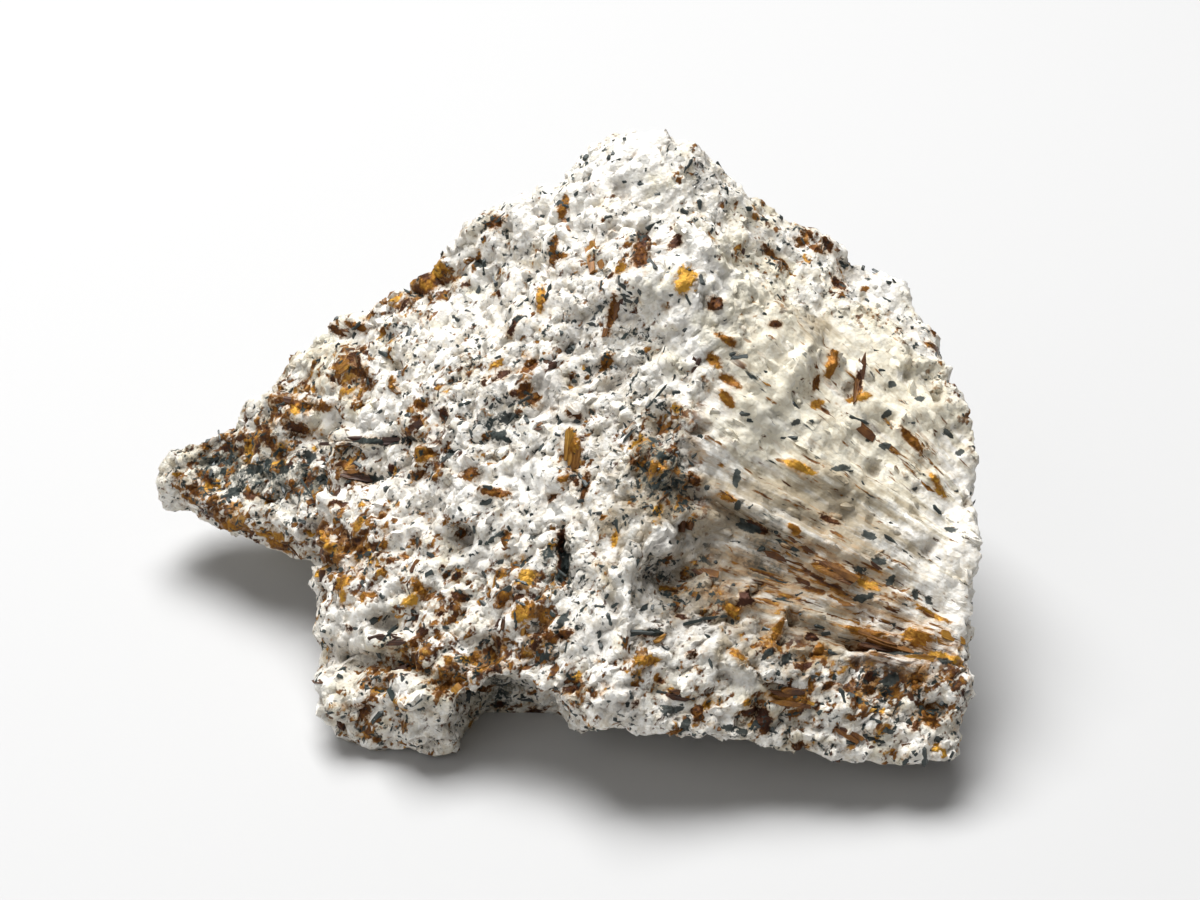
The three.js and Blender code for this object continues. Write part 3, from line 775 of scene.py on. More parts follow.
def sugar(finish, size):
    """Broken grains of that size: the height of each one's tilted face, and a random shade for each."""
    place = finish.place()
    inputs = {"Vector": place, "Scale": 1 / size}
    middle = finish.node("ShaderNodeTexVoronoi", inputs=inputs, output="Position")
    tint = Wire(finish, middle.socket.node.outputs["Color"])
    away = finish.node("ShaderNodeVectorMath", {"operation": "SUBTRACT"}, {0: place, 1: middle})
    tilt = finish.node("ShaderNodeVectorMath", {"operation": "SUBTRACT"}, {0: tint, 1: (0.5, 0.5, 0.5)})
    settings = {"operation": "DOT_PRODUCT"}
    height = finish.node("ShaderNodeVectorMath", settings, {0: away, 1: tilt}, output="Value")
    return height, finish.node("ShaderNodeSeparateColor", inputs={0: tint})


def turned_cells(finish, place, width, stretch, turn):
    """Places in cells of that width, stretched and turned by three angles in degrees."""
    angles = [math.radians(angle) for angle in turn]
    inputs = {"Vector": place, "Rotation": angles, "Scale": (width * stretch, width, width)}
    return finish.node("ShaderNodeMapping", {"vector_type": "TEXTURE"}, inputs)


def feldspar_finish(colours):
    """Sugary feldspar: white, cream and glassy patches, flush black and brown specks, rust in the cracks,
    painted shade and dirt in the pits, and painted shade and light on the grains. Where the rock is fibrous,
    all of these are drawn out along the fan."""
    finish = Finish("sugary feldspar")
    zones = ("rusty", "dark", "glassy", "clean", "pit")
    rusty, dark, glassy, clean, pit = (finish.kept(name) for name in zones)
    fibre = finish.rise(finish.kept("fibrous"), *FIBRE_RANGE)
    fan_parts = dict(enumerate(finish.kept(name) for name in FAN_PLACES))
    fan = finish.node("ShaderNodeCombineXYZ", inputs=fan_parts)
    thin_streak = finish.clouds(FAN_MIDDLING, detail=4, place=fan)
    broad = towards(finish.clouds(BROAD), finish.clouds(FAN_BROAD, place=fan), fibre * 0.85)
    middling = towards(finish.clouds(MIDDLING, detail=4), thin_streak, fibre * 0.75)
    fine = towards(finish.clouds(FINE, detail=4), finish.clouds(FAN_FINE, detail=4, place=fan), fibre * 0.4)
    wander = finish.node(
        "ShaderNodeVectorMath",
        {"operation": "MULTIPLY_ADD"},
        {0: finish.clouds(WANDER, output="Color"), 1: (WANDER_REACH,) * 3, 2: finish.place()},
    )

    def specked(base, tint, cells, more, fan_more):
        """The base with specks of that tint over it, turned every way, or along the fan in fibrous rock."""
        for turn in cells["turns"]:
            place = turned_cells(finish, wander, cells["width"], cells["stretch"], turn)
            base = finish.blend(specks(finish, place, more) * (1 - fibre), base, tint)
        place = finish.stretch(fan, cells["fan_cells"])
        return finish.blend(specks(finish, place, fan_more) * fibre, base, tint)

    grain_height, grain_shade = sugar(finish, SUGAR_WIDTH)
    creamy = broad + finish.kept("creamy") * 0.25
    base = finish.tinted(colour(colours.white), "cream", creamy, colours.cream)
    base = finish.blend(GRAIN_CONTRAST, base, grain_shade * 0.7 + 0.3, "MULTIPLY")
    base = finish.tinted(base, "glassy grains", grain_shade, colours.glassy)
    # Where the glassy zones are strong, the grey and brown grey patches are partly painted shade on the
    # lower right face
    base = finish.tinted(base, "glassy", middling + glassy * 0.22 - clean * 0.14, colours.glassy)
    base = finish.tinted(base, "mottle", finish.clouds(MOTTLE, detail=5) - clean * 0.12, colours.beige)
    # Painted shade between the grains and painted light on them, from the fine noise, half as strong in the
    # clean and lit zones
    shade = finish.blend(finish.rise(fine, *SHADE_RANGE), colour(colours.shade), BRIGHT)
    base = finish.blend(0.50 - clean * 0.25, base, shade, "MULTIPLY")
    base = finish.tinted(base, "murky", broad + glassy * 0.24 - clean * 0.14, colours.murky)
    rosy = middling + rusty * (0.16 + fibre * 0.06) + pit * 0.05
    base = finish.tinted(base, "rosy", rosy, colours.rosy)
    rust = middling * 0.7 + broad * 0.3 + rusty * (0.14 + fibre * 0.05) + pit * 0.08 + (fine - 0.5) * 0.6
    base = finish.tinted(base, "rust", rust, colours.rust)
    # Painted shade, with some dirt, in the pits, crevices, hollows and grooves
    base = finish.blend(pit * finish.layer("shade_and_dirt", fine), base, colour(colours.shade_and_dirt))
    smudge = fine * 0.6 + middling * 0.4 + dark * 0.24 - clean * 0.15
    base = finish.tinted(base, "smudge", smudge, colours.smudge)

    tones = blade_tones(colours, FLUSH_STOPS)
    ragged = (fine - 0.5) * 1.3 + (middling - 0.5) * 0.8
    gather = (broad - 0.5) * 0.35
    brown = finish.ramp((middling - 0.5) * 2.4 + (fine - 0.5) * 0.9 + 0.44, tones)
    more = rusty * 0.14 + gather - clean * 0.12 - 0.030
    base = specked(base, brown, BROWN_SPECKS, more, rusty * 0.12 + gather - 0.042)
    near_blade = finish.kept("bladed") + ragged
    base = finish.tinted(base, "blade rim", near_blade, colours.rosy)
    bladed = finish.layer("blade", near_blade)
    base = finish.blend(bladed, base, finish.ramp(finish.kept("tone") + ragged * 0.9, tones))

    black = finish.blend(middling, colour(colours.black), colour(colours.green))
    more = dark * 0.07 + pit * 0.03 + (middling - 0.5) * 0.30 - clean * 0.10 - 0.04
    base = specked(base, black, BLACK_SPECKS, more, dark * 0.10 + gather - 0.07)
    base = finish.blend(finish.layer("inked", finish.kept("inked") + ragged), base, black)

    rough_height = towards(finish.clouds(ROUGH, detail=5), thin_streak, fibre * 0.5)
    facet_height = grain_height * ((1 - fibre * 0.4) * 0.8)
    finish.shader.inputs["Specular IOR Level"].default_value = FELDSPAR_SPECULAR
    finish.surface(
        base_color=base,
        roughness=0.42 + 0.4 * fine - bladed * 0.2,
        metallic=bladed * 0.5,
        normal=finish.bump(rough_height * ROUGH_HEIGHT + facet_height, 1.0, 0.9),
    )
    return finish.material


def astrophyllite_finish(colours):
    """Bronze blades: a tone for each blade, striped along its length, with a pearly metal sheen."""
    finish = Finish("bronze astrophyllite")
    tone = finish.kept("tone")
    stripe_place = finish.kept("across") * (1 / STRIPE_WIDTH) + tone * 40
    stripe = finish.node(
        "ShaderNodeTexNoise", {"noise_dimensions": "1D"}, {"W": stripe_place, "Scale": 1.0, "Detail": 2.0}
    )
    worn = finish.clouds(WORN_WIDTH)
    shade = tone + (stripe - 0.5) * 0.45 + (worn - 0.5) * 0.70
    finish.surface(
        base_color=finish.ramp(shade, blade_tones(colours, STANDING_STOPS)),
        roughness=0.32 + 0.3 * worn,
        metallic=0.25 * tone,
        normal=finish.bump(stripe, STRIPE_DEPTH, 0.7),
    )
    return finish.material


def aegirine_finish(colours):
    """Black needles, a little green where they are thin, with a glassy shine."""
    finish = Finish("black aegirine")
    streak = finish.clouds(STREAK_WIDTH)
    finish.surface(
        base_color=finish.blend(streak, colour(colours.black), colour(colours.green)),
        roughness=0.22 + 0.35 * streak,
        normal=finish.bump(finish.clouds(NEEDLE_GRAIN), NEEDLE_DEPTH, 0.5),
    )
    return finish.material


def solid_surface(step):
    """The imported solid's surface as one even net of triangles, in metres."""
    places, triangles = mesh_arrays(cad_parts["rock"].data)
    lump = bpy.data.meshes.new("lump")
    lump.from_pydata((places / MM).tolist(), [], triangles.tolist())
    carrier = bpy.data.objects.new("lump", lump)
    bpy.context.scene.collection.objects.link(carrier)
    net = carrier.modifiers.new("net", "REMESH")
    net.mode = "VOXEL"
    net.voxel_size = step / MM
    places, triangles = mesh_arrays(carrier.evaluated_get(bpy.context.evaluated_depsgraph_get()).to_mesh())
    bpy.data.objects.remove(carrier)
    bpy.data.meshes.remove(lump)
    return places.astype(float) * MM, triangles


def rock_fields(surface, draw):
    """The zones of colour and grain over the whole rock, with random ones on its hidden sides."""
    fields = {}
    for name, spots in ZONES.items():
        total = surface.zone(spots)
        if name in HIDDEN_ZONES:
            total += surface.unseen(draw, *HIDDEN_ZONES[name])
        fields[name] = np.clip(total, 0, 1)
    return fields


def feldspar_numbers(places, fields, sizes):
    """The values that the feldspar's finish reads at each point: its fields and its place in the fan."""
    fan = fan_places(places, sizes.fibre_length, sizes.fibre_width)
    return {**fields, **dict(zip(FAN_PLACES, fan.T))}


# Painted shade, with some dirt, in hollows and grooves
HOLLOW_SHADE_AND_DIRT = 0.7
GROOVE_SHADE_AND_DIRT = 0.9
# How an edge fades in at its first end and out at its last, and how sharp its step is
EDGE_FIRST = (-0.25, 0.05)
EDGE_LAST = (-1.25, -0.95)
EDGE_STEP = (-0.15 * MM, 0.25 * MM)
# From where to where a face counts as turned to the photograph
SEEN_RANGE = (-0.1, 0.15)


def beside(ends, across, down):
    """A line in the photograph, and for each point how far it is seen to the right of the line's first end,
    below that end, and along the line, from 0 at its first end to 1 at its last."""
    line = np.array((ends[2] - ends[0], ends[3] - ends[1]))
    right = across - ends[0]
    below = down - ends[1]
    return line, right, below, (right * line[0] + below * line[1]) / (line @ line)


def carved(surface):
    """How far knobs, hollows, grooves and edges move each point out, and the painted shade and dirt there,
    up to 1.
    """
    across, down, size = surface.pixels()
    height = np.zeros(len(across))
    shade_and_dirt = np.zeros(len(across))
    for middle_across, middle_down, radius, rise in KNOBS:
        away = np.hypot(across - middle_across, down - middle_down) * size / (radius * MM)
        share = np.exp(-(away**3))
        height += rise * MM * share
        if rise < 0:
            shade_and_dirt = np.maximum(shade_and_dirt, HOLLOW_SHADE_AND_DIRT * share)
    for *ends, width, depth in GROOVES:
        line, right, below, along = beside(ends, across, down)
        along = np.clip(along, 0, 1)
        away = np.hypot(right - along * line[0], below - along * line[1]) * size
        share = np.exp(-((away / (width * MM)) ** 2))
        height -= depth * MM * share
        shade_and_dirt = np.maximum(shade_and_dirt, GROOVE_SHADE_AND_DIRT * share)
    for *ends, reach, depth in EDGES:
        line, right, below, along = beside(ends, across, down)
        beyond = (right * line[1] - below * line[0]) / np.linalg.norm(line) * size
        fade = np.exp(-((np.maximum(beyond, 0) / (reach * MM)) ** 2))
        fade *= smooth_step(along, *EDGE_FIRST) * smooth_step(-along, *EDGE_LAST)
        height -= depth * MM * fade * smooth_step(beyond, *EDGE_STEP)
    seen = smooth_step(-np.sum(surface.facing * unit(surface.places - EYE), axis=1), *SEEN_RANGE)
    return height * seen, shade_and_dirt * seen


# How far round a flush mark the rock is looked at, and half the mark, both in its own length or width
MARK_REACH = 1.5
MARK_HALF = 0.52
# Half the width in mm of the thinnest mark that the rock's points can carry
THINNEST = 0.28
# A mark's depth in mm, and what each mm of its length adds, and how it narrows to its ends
MARK_DEPTH = (0.8, 0.12)
MARK_TAPER = 0.8


def marked(surface, rows):
    """How far each point lies inside flush marks, up to 1, and the tone of the mark that it lies deepest in.
    A row is a place, the rock's facing there, the mark's direction, its length and width in mm, and its
    tone."""
    inside = np.zeros(len(surface.places))
    toned = np.zeros(len(surface.places))
    for point, normal, way, long, wide, tone in rows:
        away = surface.places - point
        near = np.flatnonzero(np.sum(away**2, axis=1) < (MARK_REACH * long * MM) ** 2)
        along = away[near] @ way / (MARK_HALF * long * MM)
        across = away[near] @ np.cross(normal, way) / (max(MARK_HALF * wide, THINNEST) * MM)
        depth = away[near] @ normal / ((MARK_DEPTH[0] + MARK_DEPTH[1] * long) * MM)
        share = np.exp(-(along**4) - (across * (1 + MARK_TAPER * along**2)) ** 2 - depth**2)
        toned[near] = np.where(share > inside[near], tone, toned[near])
        inside[near] = np.maximum(inside[near], share)
    return inside, toned


# Random flush blades: the least share of them outside the rusty zones, the fibrous strengths over which they
# give way to the fan, and the spreads of their lengths, widths in their own length, and tones
STAIN_LEAST = 0.06
STAIN_FIBRE = (0.25, 0.5)
STAIN_LENGTHS = (0, 0.4)
STAIN_WIDTHS = (0.35, 0.7)
STAIN_TONES = (1.3, 1.9)


def blade_rows(surface, draw, count, length, fields):
    """Rows of flush blades: the ones that the photograph shows, and random small ones in the rusty zones."""
    rows = [(*surface.seat(*row[:3]), *row[3:]) for row in SEEN_BLADES]
    sugary = 1 - smooth_step(fields["fibrous"], *STAIN_FIBRE)
    share = (STAIN_LEAST + fields["rusty"]) * sugary * (1 - fields["clean"])
    points, normals, _ = surface.scatter(draw, count, share)
    ways = unit(np.cross(normals, draw.normal(0, 1, points.shape)))
    for point, normal, way in zip(points, normals, ways):
        long = length / MM * draw.lognormal(*STAIN_LENGTHS)
        wide = long * draw.uniform(*STAIN_WIDTHS)
        rows.append((point, normal, way, long, wide, draw.beta(*STAIN_TONES)))
    return rows


def facets(points, step):
    """The height of each point on the tilted face of the broken facet that it lies on."""
    middle = grain_middles(points)
    tilt = np.stack([chance(middle, seed) - 0.5 for seed in (1, 2, 3)], axis=1)
    return step * (0.5 * (chance(middle, 4) - 0.5) + np.sum((points - middle) * tilt, axis=1))


def squeezed(points, along, share):
    """Points drawn together along one direction, so that what is laid out on them comes out stretched."""
    return points - np.outer(points @ along, along) * (1 - share)


class SPECIMEN_OT_rock_surface(Operator):
    """Makes the rock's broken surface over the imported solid"""

    bl_idname = "specimen.rock_surface"
    bl_label = "Rock surface"

    # Shares of the rounds that melt the solid's edges without shrinking it
    MELT = [0.6, -0.62] * 9
    # The direction in which the grains are drawn out, as pixel across, pixel down and turn in degrees, and
    # their width as a share of their length
    GRAIN_LINE = (480, 420, 28)
    GRAIN_DRAW = 0.6
    # Height over which the roughness fades out above the table, and height of the points that lie on it
    FOOT = 1.2 * MM
    SOLE = 0.25 * MM
    # Width and seed of the broad and the fine roughness
    ROUGH_NOISES = ((0.9 * MM, 7), (0.5 * MM, 8))
    # From where to where a noise counts as a pit, and a gap between the rounded lumps as a crevice
    PIT_RANGE = (0.40, 0.72)
    CREVICE_RANGE = (0.0, 0.12)
    SEED = 5

    def execute(self, context):
        sizes = context.scene.specimen_rock
        draw = np.random.default_rng(self.SEED)
        net = Surface(*solid_surface(sizes.mesh_step))
        lump = Surface(net.averaged(net.places, self.MELT), net.triangles)
        fields = rock_fields(lump, draw)
        places = lump.places
        fibre = smooth_step(fields["fibrous"], *FIBRE_RANGE)
        height, fields["pit"] = self.relief(lump, sizes, fibre, fields["smooth"])
        height *= smooth_step(places[:, 2], 0.0, self.FOOT)
        rough = above_table(places + lump.facing * height[:, None])
        rough[places[:, 2] < self.SOLE, 2] = 0
        crystals = context.scene.specimen_crystals
        rows = blade_rows(lump, draw, crystals.stain_count, crystals.blade_length, fields)
        fields["bladed"], fields["tone"] = marked(lump, rows)
        fields["inked"], _ = marked(lump, [(*lump.seat(*row[:3]), *row[3:], 0) for row in SEEN_MARKS])
        numbers = feldspar_numbers(rough, fields, sizes)
        mesh = joined_mesh("rock_surface", rough, lump.triangles, numbers, SOFT_ANGLE)
        piece = piece_of(mesh, feldspar_finish(context.scene.specimen_colours))
        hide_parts("rock")
        return {"FINISHED"}

    def relief(self, lump, sizes, fibre, smooth):
        """How far each point stands out from the melted lump, and how far it lies in pits, crevices, hollows
        and grooves, which take painted shade and dirt.
        """
        places = lump.places
        lumps = noises(places, sizes.lump_width, 1) + 0.6 * noises(places, sizes.lump_width / 2, 2)
        wander = np.stack([noises(places, sizes.facet_width * 0.4, seed) for seed in (3, 4, 5)], axis=1)
        wander *= 0.22 * sizes.facet_width
        drawn = squeezed(places + wander, lump.seat(*self.GRAIN_LINE)[2], self.GRAIN_DRAW)
        puffs = np.abs(noises(drawn, sizes.puff_width, 9))
        small_puffs = np.abs(noises(drawn, sizes.puff_width * 0.45, 10))
        sugary = facets(drawn / sizes.facet_width, sizes.facet_step)
        sugary += sizes.puff_height * (puffs + 0.5 * small_puffs - 0.35)
        fan = fan_places(places + wander * 0.3, sizes.fibre_length, sizes.fibre_width)
        fibrous = sizes.fibre_height * (noises(fan, 1.0, 11) + 0.5 * noises(fan, 0.5, 12))
        pits = smooth_step(noises(places, 0.45 * sizes.lump_width, 6), *self.PIT_RANGE)
        broad_rough, fine_rough = (noises(places, *row) for row in self.ROUGH_NOISES)
        rough = broad_rough + 0.6 * fine_rough
        crevices = (1 - smooth_step(puffs, *self.CREVICE_RANGE)) * (1 - 0.8 * fibre) * (1 - 0.7 * smooth)
        height = sizes.lump_height * lumps + (1 - 0.8 * fibre) * (1 - 0.6 * smooth) * sugary
        height += fibre * fibrous
        height += sizes.roughness * rough * (1 - 0.2 * fibre) - sizes.pit_depth * pits
        height -= sizes.crevice_depth * crevices
        carving, shade_and_dirt = carved(lump)
        return height + carving, np.maximum(np.maximum(pits, 0.8 * crevices), shade_and_dirt)


# The values kept at the points of the rock's surface, beside the place in the fan
FIELDS = (*ZONES, "pit", "bladed", "tone", "inked")


def finished_rock():
    """The rock's finished surface and its fields, read back from its piece."""
    mesh = bpy.data.objects["rock_surface"].data
    places, triangles = mesh_arrays(mesh)
    fields = {}
    for name in FIELDS:
        values = np.empty(len(mesh.vertices), np.float32)
        mesh.attributes[name].data.foreach_get("value", values)
        fields[name] = values.astype(float)
    return Surface(places.astype(float), triangles, fields)


# From where to where the rock counts as clear of the table and as not facing down
OPEN_HEIGHT = (0.3 * MM, 0.9 * MM)
OPEN_FACING = (-0.97, -0.8)


def open_rock(rock):
    """1 where crystals can show, and 0 on the underside."""
    return smooth_step(rock.places[:, 2], *OPEN_HEIGHT) * smooth_step(rock.facing[:, 2], *OPEN_FACING)


# One lath of a blade, a strip that narrows to both ends: corners along and across, from -0.5 to 0.5
LATH_OUTLINE = np.array(
    (
        (-0.50, 0.5), (-0.50, -0.5), (-0.27, -0.5), (0.24, -0.5),
        (0.50, -0.5), (0.50, 0.5), (0.26, 0.5), (-0.24, 0.5),
    )
)
LATH_ENDS = ((0, 1), (4, 5))


def lath_triangles():
    """The two faces and the rim of one lath."""
    size = len(LATH_OUTLINE)
    rows = []
    for corner in range(1, size - 1):
        rows.append((0, corner + 1, corner))
        rows.append((size, size + corner, size + corner + 1))
    for corner in range(size):
        after = (corner + 1) % size
        rows.append((corner, after, size + after))
        rows.append((corner, size + after, size + corner))
    return np.array(rows)


class SPECIMEN_OT_astrophyllite_blades(Operator):
    """Sets the bronze blades: the ones that the photograph shows, and small ones in the rusty zones"""

    bl_idname = "specimen.astrophyllite_blades"
    bl_label = "Astrophyllite blades"

    # Least length in mm of a seen blade that stands, how proud a lath may stand, and how deep it reaches
    STANDING = 3.0
    PROUDEST = 0.35 * MM
    ROOT = 0.5 * MM
    MOST_LATHS = 6
    # Least fibrous strength at which blades follow the fan, and their stretch there along and across
    IN_FAN = 0.4
    FAN_LENGTH = 1.9
    FAN_WIDTH = 0.35
    # How far blades turn and lean from the ones nearby, and laths from their blade
    TURN = 0.55
    FAN_TURN = 0.16
    LEAN = 0.13
    LATH_LEAN = 0.16
    LATH_TURN = 0.035
    # Spreads of the small blades' lengths, widths in their own length, and tones
    LENGTHS = (0, 0.35)
    WIDTHS = (0.25, 0.6)
    TONES = (1.2, 2.2)
    # A lath's slide along its blade in blade lengths, its lift in mm, its length and width as shares of the
    # blade's, the width of its ends, and how far its corners stray, in its own length and width and up in mm
    SLIDE = (-0.16, 0.16)
    LIFT = (-0.18, 0.03)
    LATH_LENGTHS = (0.5, 1.0)
    LATH_WIDTHS = (1.0, 1.6)
    END_WIDTHS = (0.10, 0.80)
    STRAY = (-0.08, 0.08)
    UNEVEN = (-0.04, 0.06)
    # How far the tone changes along a lath, and from lath to lath
    FADE = (0, 0.25)
    LATH_TONES = (0, 0.14)
    SEED = 21

    def execute(self, context):
        sizes = context.scene.specimen_crystals
        draw = np.random.default_rng(self.SEED)
        rock = finished_rock()
        standing = [row for row in SEEN_BLADES if row[3] >= self.STANDING]
        seen_points, seen_normals, seen_along = rock.seats(standing)
        seen_sizes = np.array([row[3:5] for row in standing]) * MM
        seen_tones = np.array([row[-1] for row in standing])

        share = open_rock(rock) * (0.05 + rock.fields["rusty"]) * (1 - 0.5 * rock.fields["fibrous"])
        points, normals, fields = rock.scatter(draw, sizes.blade_count, share)
        nearest = np.argmin(np.linalg.norm(points[:, None] - seen_points[None], axis=2), axis=1)
        along = leaning(draw, seen_along[nearest], self.TURN)
        in_fan = fields["fibrous"] > self.IN_FAN
        fan = leaning(draw, towards_focus(points, normals), self.FAN_TURN)
        along = np.where(in_fan[:, None], fan, along)
        stretch = np.where(in_fan, self.FAN_LENGTH, 1.0)
        lengths = sizes.blade_length * draw.lognormal(*self.LENGTHS, len(points)) * stretch
        widths = lengths * draw.uniform(*self.WIDTHS, len(points)) * np.where(in_fan, self.FAN_WIDTH, 1.0)
        tones = draw.beta(*self.TONES, len(points))

        points = np.concatenate([seen_points, points])
        normals = leaning(draw, np.concatenate([seen_normals, normals]), self.LEAN)
        along = laid(np.concatenate([seen_along, along]), normals)
        spans = np.concatenate([seen_sizes, np.stack([lengths, widths], axis=1)])
        tones = np.concatenate([seen_tones, tones])
        blades = (points, normals, along, spans, tones)
        mesh = self.bundled(rock, len(standing), draw, *blades, sizes.lath_width)
        piece_of(mesh, astrophyllite_finish(context.scene.specimen_colours))
        return {"FINISHED"}

    def bundled(self, rock, seen, draw, points, normals, along, spans, tones, lath_width):
        """One mesh of blades, each a bundle of narrow laths that end at different places. Laths that stand
        too proud of the rock are left out, but not those of the seen blades, which come first."""
        laths = np.clip(np.round(spans[:, 1] / lath_width), 1, self.MOST_LATHS).astype(int)
        owner = np.repeat(np.arange(len(points)), laths)
        count = len(owner)
        rank = np.arange(count) - np.repeat(np.cumsum(laths) - laths, laths)
        aside = ((rank + 0.5) / laths[owner] - 0.5) * spans[owner, 1]
        slide = draw.uniform(*self.SLIDE, count) * spans[owner, 0]
        lift = draw.uniform(*self.LIFT, count) * MM
        width_way = np.cross(normals, along)[owner]
        places = points[owner] + width_way * aside[:, None] + along[owner] * slide[:, None]
        places += normals[owner] * lift[:, None]
        lengths = np.where(laths[owner] > 2, draw.uniform(*self.LATH_LENGTHS, count), 1.0)
        lengths = spans[owner, 0] * lengths
        widths = spans[owner, 1] / laths[owner] * draw.uniform(*self.LATH_WIDTHS, count)
        facing = leaning(draw, normals[owner], self.LATH_LEAN)
        way = laid(leaning(draw, along[owner], self.LATH_TURN), facing)

        corners = len(LATH_OUTLINE)
        outline = np.repeat(LATH_OUTLINE[None], count, axis=0)
        ends = draw.uniform(*self.END_WIDTHS, (count, 2))
        for end, pair in enumerate(LATH_ENDS):
            outline[:, pair, 1] *= ends[:, end, None]
        outline += draw.uniform(*self.STRAY, outline.shape)
        top = draw.uniform(*self.UNEVEN, (count, corners, 1)) * MM
        flat = outline * np.stack([lengths, widths], axis=1)[:, None, :]
        levels = [np.concatenate([flat, level], axis=2) for level in (top - self.ROOT, top)]
        shape = np.concatenate(levels, axis=1)
        mesh_places = stamped(shape, turns_of(way, facing), places)
        tops = mesh_places[:, corners:].reshape(-1, 3).tolist()
        proud = np.reshape([rock.tree.find_nearest(place)[3] for place in tops], (count, corners))
        kept = (owner < seen) | (proud.max(axis=1) < self.PROUDEST)
        fade = draw.normal(*self.FADE, (count, 1)) * np.concatenate([outline[:, :, 0]] * 2, axis=1)
        lath_tones = (tones[owner] + draw.normal(*self.LATH_TONES, count))[:, None] + fade
        numbers = {"tone": np.clip(lath_tones, 0, 1)[kept].ravel(), "across": shape[kept, :, 1].ravel()}
        triangles = copied_triangles(lath_triangles(), int(kept.sum()), corners * 2)
        kept_places = above_table(mesh_places[kept].reshape(-1, 3))
        return joined_mesh("astrophyllite_blades", kept_places, triangles, numbers)


# A needle with four sides and two points: corners along, across and out, from -0.5 to 0.5
NEEDLE_SHAPE = np.array(
    (
        (-0.50, 0.0, 0.0),
        (-0.38, -0.5, 0.0), (-0.38, 0.0, 0.5), (-0.38, 0.5, 0.0), (-0.38, 0.0, -0.5),
        (0.36, -0.5, 0.0), (0.36, 0.0, 0.5), (0.36, 0.5, 0.0), (0.36, 0.0, -0.5),
        (0.50, 0.0, 0.0),
    )
)


def needle_triangles():
    """The four sides and two points of a needle."""
    rows = []
    for side in range(4):
        after = (side + 1) % 4
        rows.append((0, 1 + side, 1 + after))
        rows.append((1 + side, 5 + side, 5 + after))
        rows.append((1 + side, 5 + after, 1 + after))
        rows.append((9, 5 + after, 5 + side))
    return np.array(rows)


class SPECIMEN_OT_aegirine_needles(Operator):
    """Sets the black needles: the ones that the photograph shows, and many small ones all over"""

    bl_idname = "specimen.aegirine_needles"
    bl_label = "Aegirine needles"

    # Least fibrous strength at which needles lie level, and how far they turn from level and lean
    LEVEL = 0.4
    TURN = 0.35
    LEAN = 0.20
    # Widest needle, in its own length, and how far a corner strays, in its own length and width
    STOUTEST = 0.7
    STRAY = (-0.09, 0.09)
    # Spreads of the lengths and widths, of the thickness in a needle's width, and of its sunk share
    LENGTHS = (-0.1, 0.48)
    WIDTHS = (0, 0.30)
    THICKNESS = (0.6, 1.0)
    SUNK = (0.15, 0.42)
    SEED = 34

    def execute(self, context):
        sizes = context.scene.specimen_crystals
        draw = np.random.default_rng(self.SEED)
        rock = finished_rock()
        seen_points, seen_normals, seen_along = rock.seats(SEEN_NEEDLES)
        seen_sizes = np.array([(length, width, width) for *_, length, width in SEEN_NEEDLES]) * MM

        share = open_rock(rock) * (0.35 + 0.5 * rock.fields["dark"]) * (1 - 0.8 * rock.fields["fibrous"])
        points, normals, fields = rock.scatter(draw, sizes.needle_count, share)
        along = unit(np.cross(normals, draw.normal(0, 1, points.shape)))
        level = unit(RIGHT + draw.normal(0, self.TURN, points.shape))
        along = np.where((fields["fibrous"] > self.LEVEL)[:, None], level, along)
        lengths = sizes.needle_length * draw.lognormal(*self.LENGTHS, len(points))
        widths = sizes.needle_width * draw.lognormal(*self.WIDTHS, len(points))
        widths = np.minimum(widths, self.STOUTEST * lengths)
        spans = np.stack([lengths, widths, widths * draw.uniform(*self.THICKNESS, len(points))], axis=1)

        points = np.concatenate([seen_points, points])
        normals = leaning(draw, np.concatenate([seen_normals, normals]), self.LEAN)
        along = laid(np.concatenate([seen_along, along]), normals)
        spans = np.concatenate([seen_sizes, spans])
        points = points - normals * (spans[:, 2:] * draw.uniform(*self.SUNK, (len(points), 1)))
        shapes = NEEDLE_SHAPE + draw.uniform(*self.STRAY, (len(points), *NEEDLE_SHAPE.shape))
        places = stamped(shapes * spans[:, None, :], turns_of(along, normals), points).reshape(-1, 3)
        triangles = copied_triangles(needle_triangles(), len(points), len(NEEDLE_SHAPE))
        mesh = joined_mesh("aegirine_needles", above_table(places), triangles)
        piece_of(mesh, aegirine_finish(context.scene.specimen_colours))
        return {"FINISHED"}


GOLDEN = (1 + math.sqrt(5)) / 2
# A side of a grain's triangle is shorter than this, and every other distance between two corners is longer
GRAIN_SIDE = 0.6


def grain_shape():
    """The twelve corners of a rounded grain, one across, and its twenty triangles."""
    pairs = [(1, GOLDEN), (1, -GOLDEN), (-1, GOLDEN), (-1, -GOLDEN)]
    corners = [row for a, b in pairs for row in ((0, a, b), (a, b, 0), (b, 0, a))]
    corners = unit(np.array(corners)) / 2
    triangles = []
    for first in range(12):
        for second in range(first + 1, 12):
            for third in range(second + 1, 12):
                trio = corners[[first, second, third]]
                sides = np.linalg.norm(trio - np.roll(trio, 1, axis=0), axis=1)
                if sides.max() < GRAIN_SIDE:
                    outward = np.dot(np.cross(trio[1] - trio[0], trio[2] - trio[0]), trio.sum(axis=0)) > 0
                    triangles.append((first, second, third) if outward else (first, third, second))
    return corners, np.array(triangles)


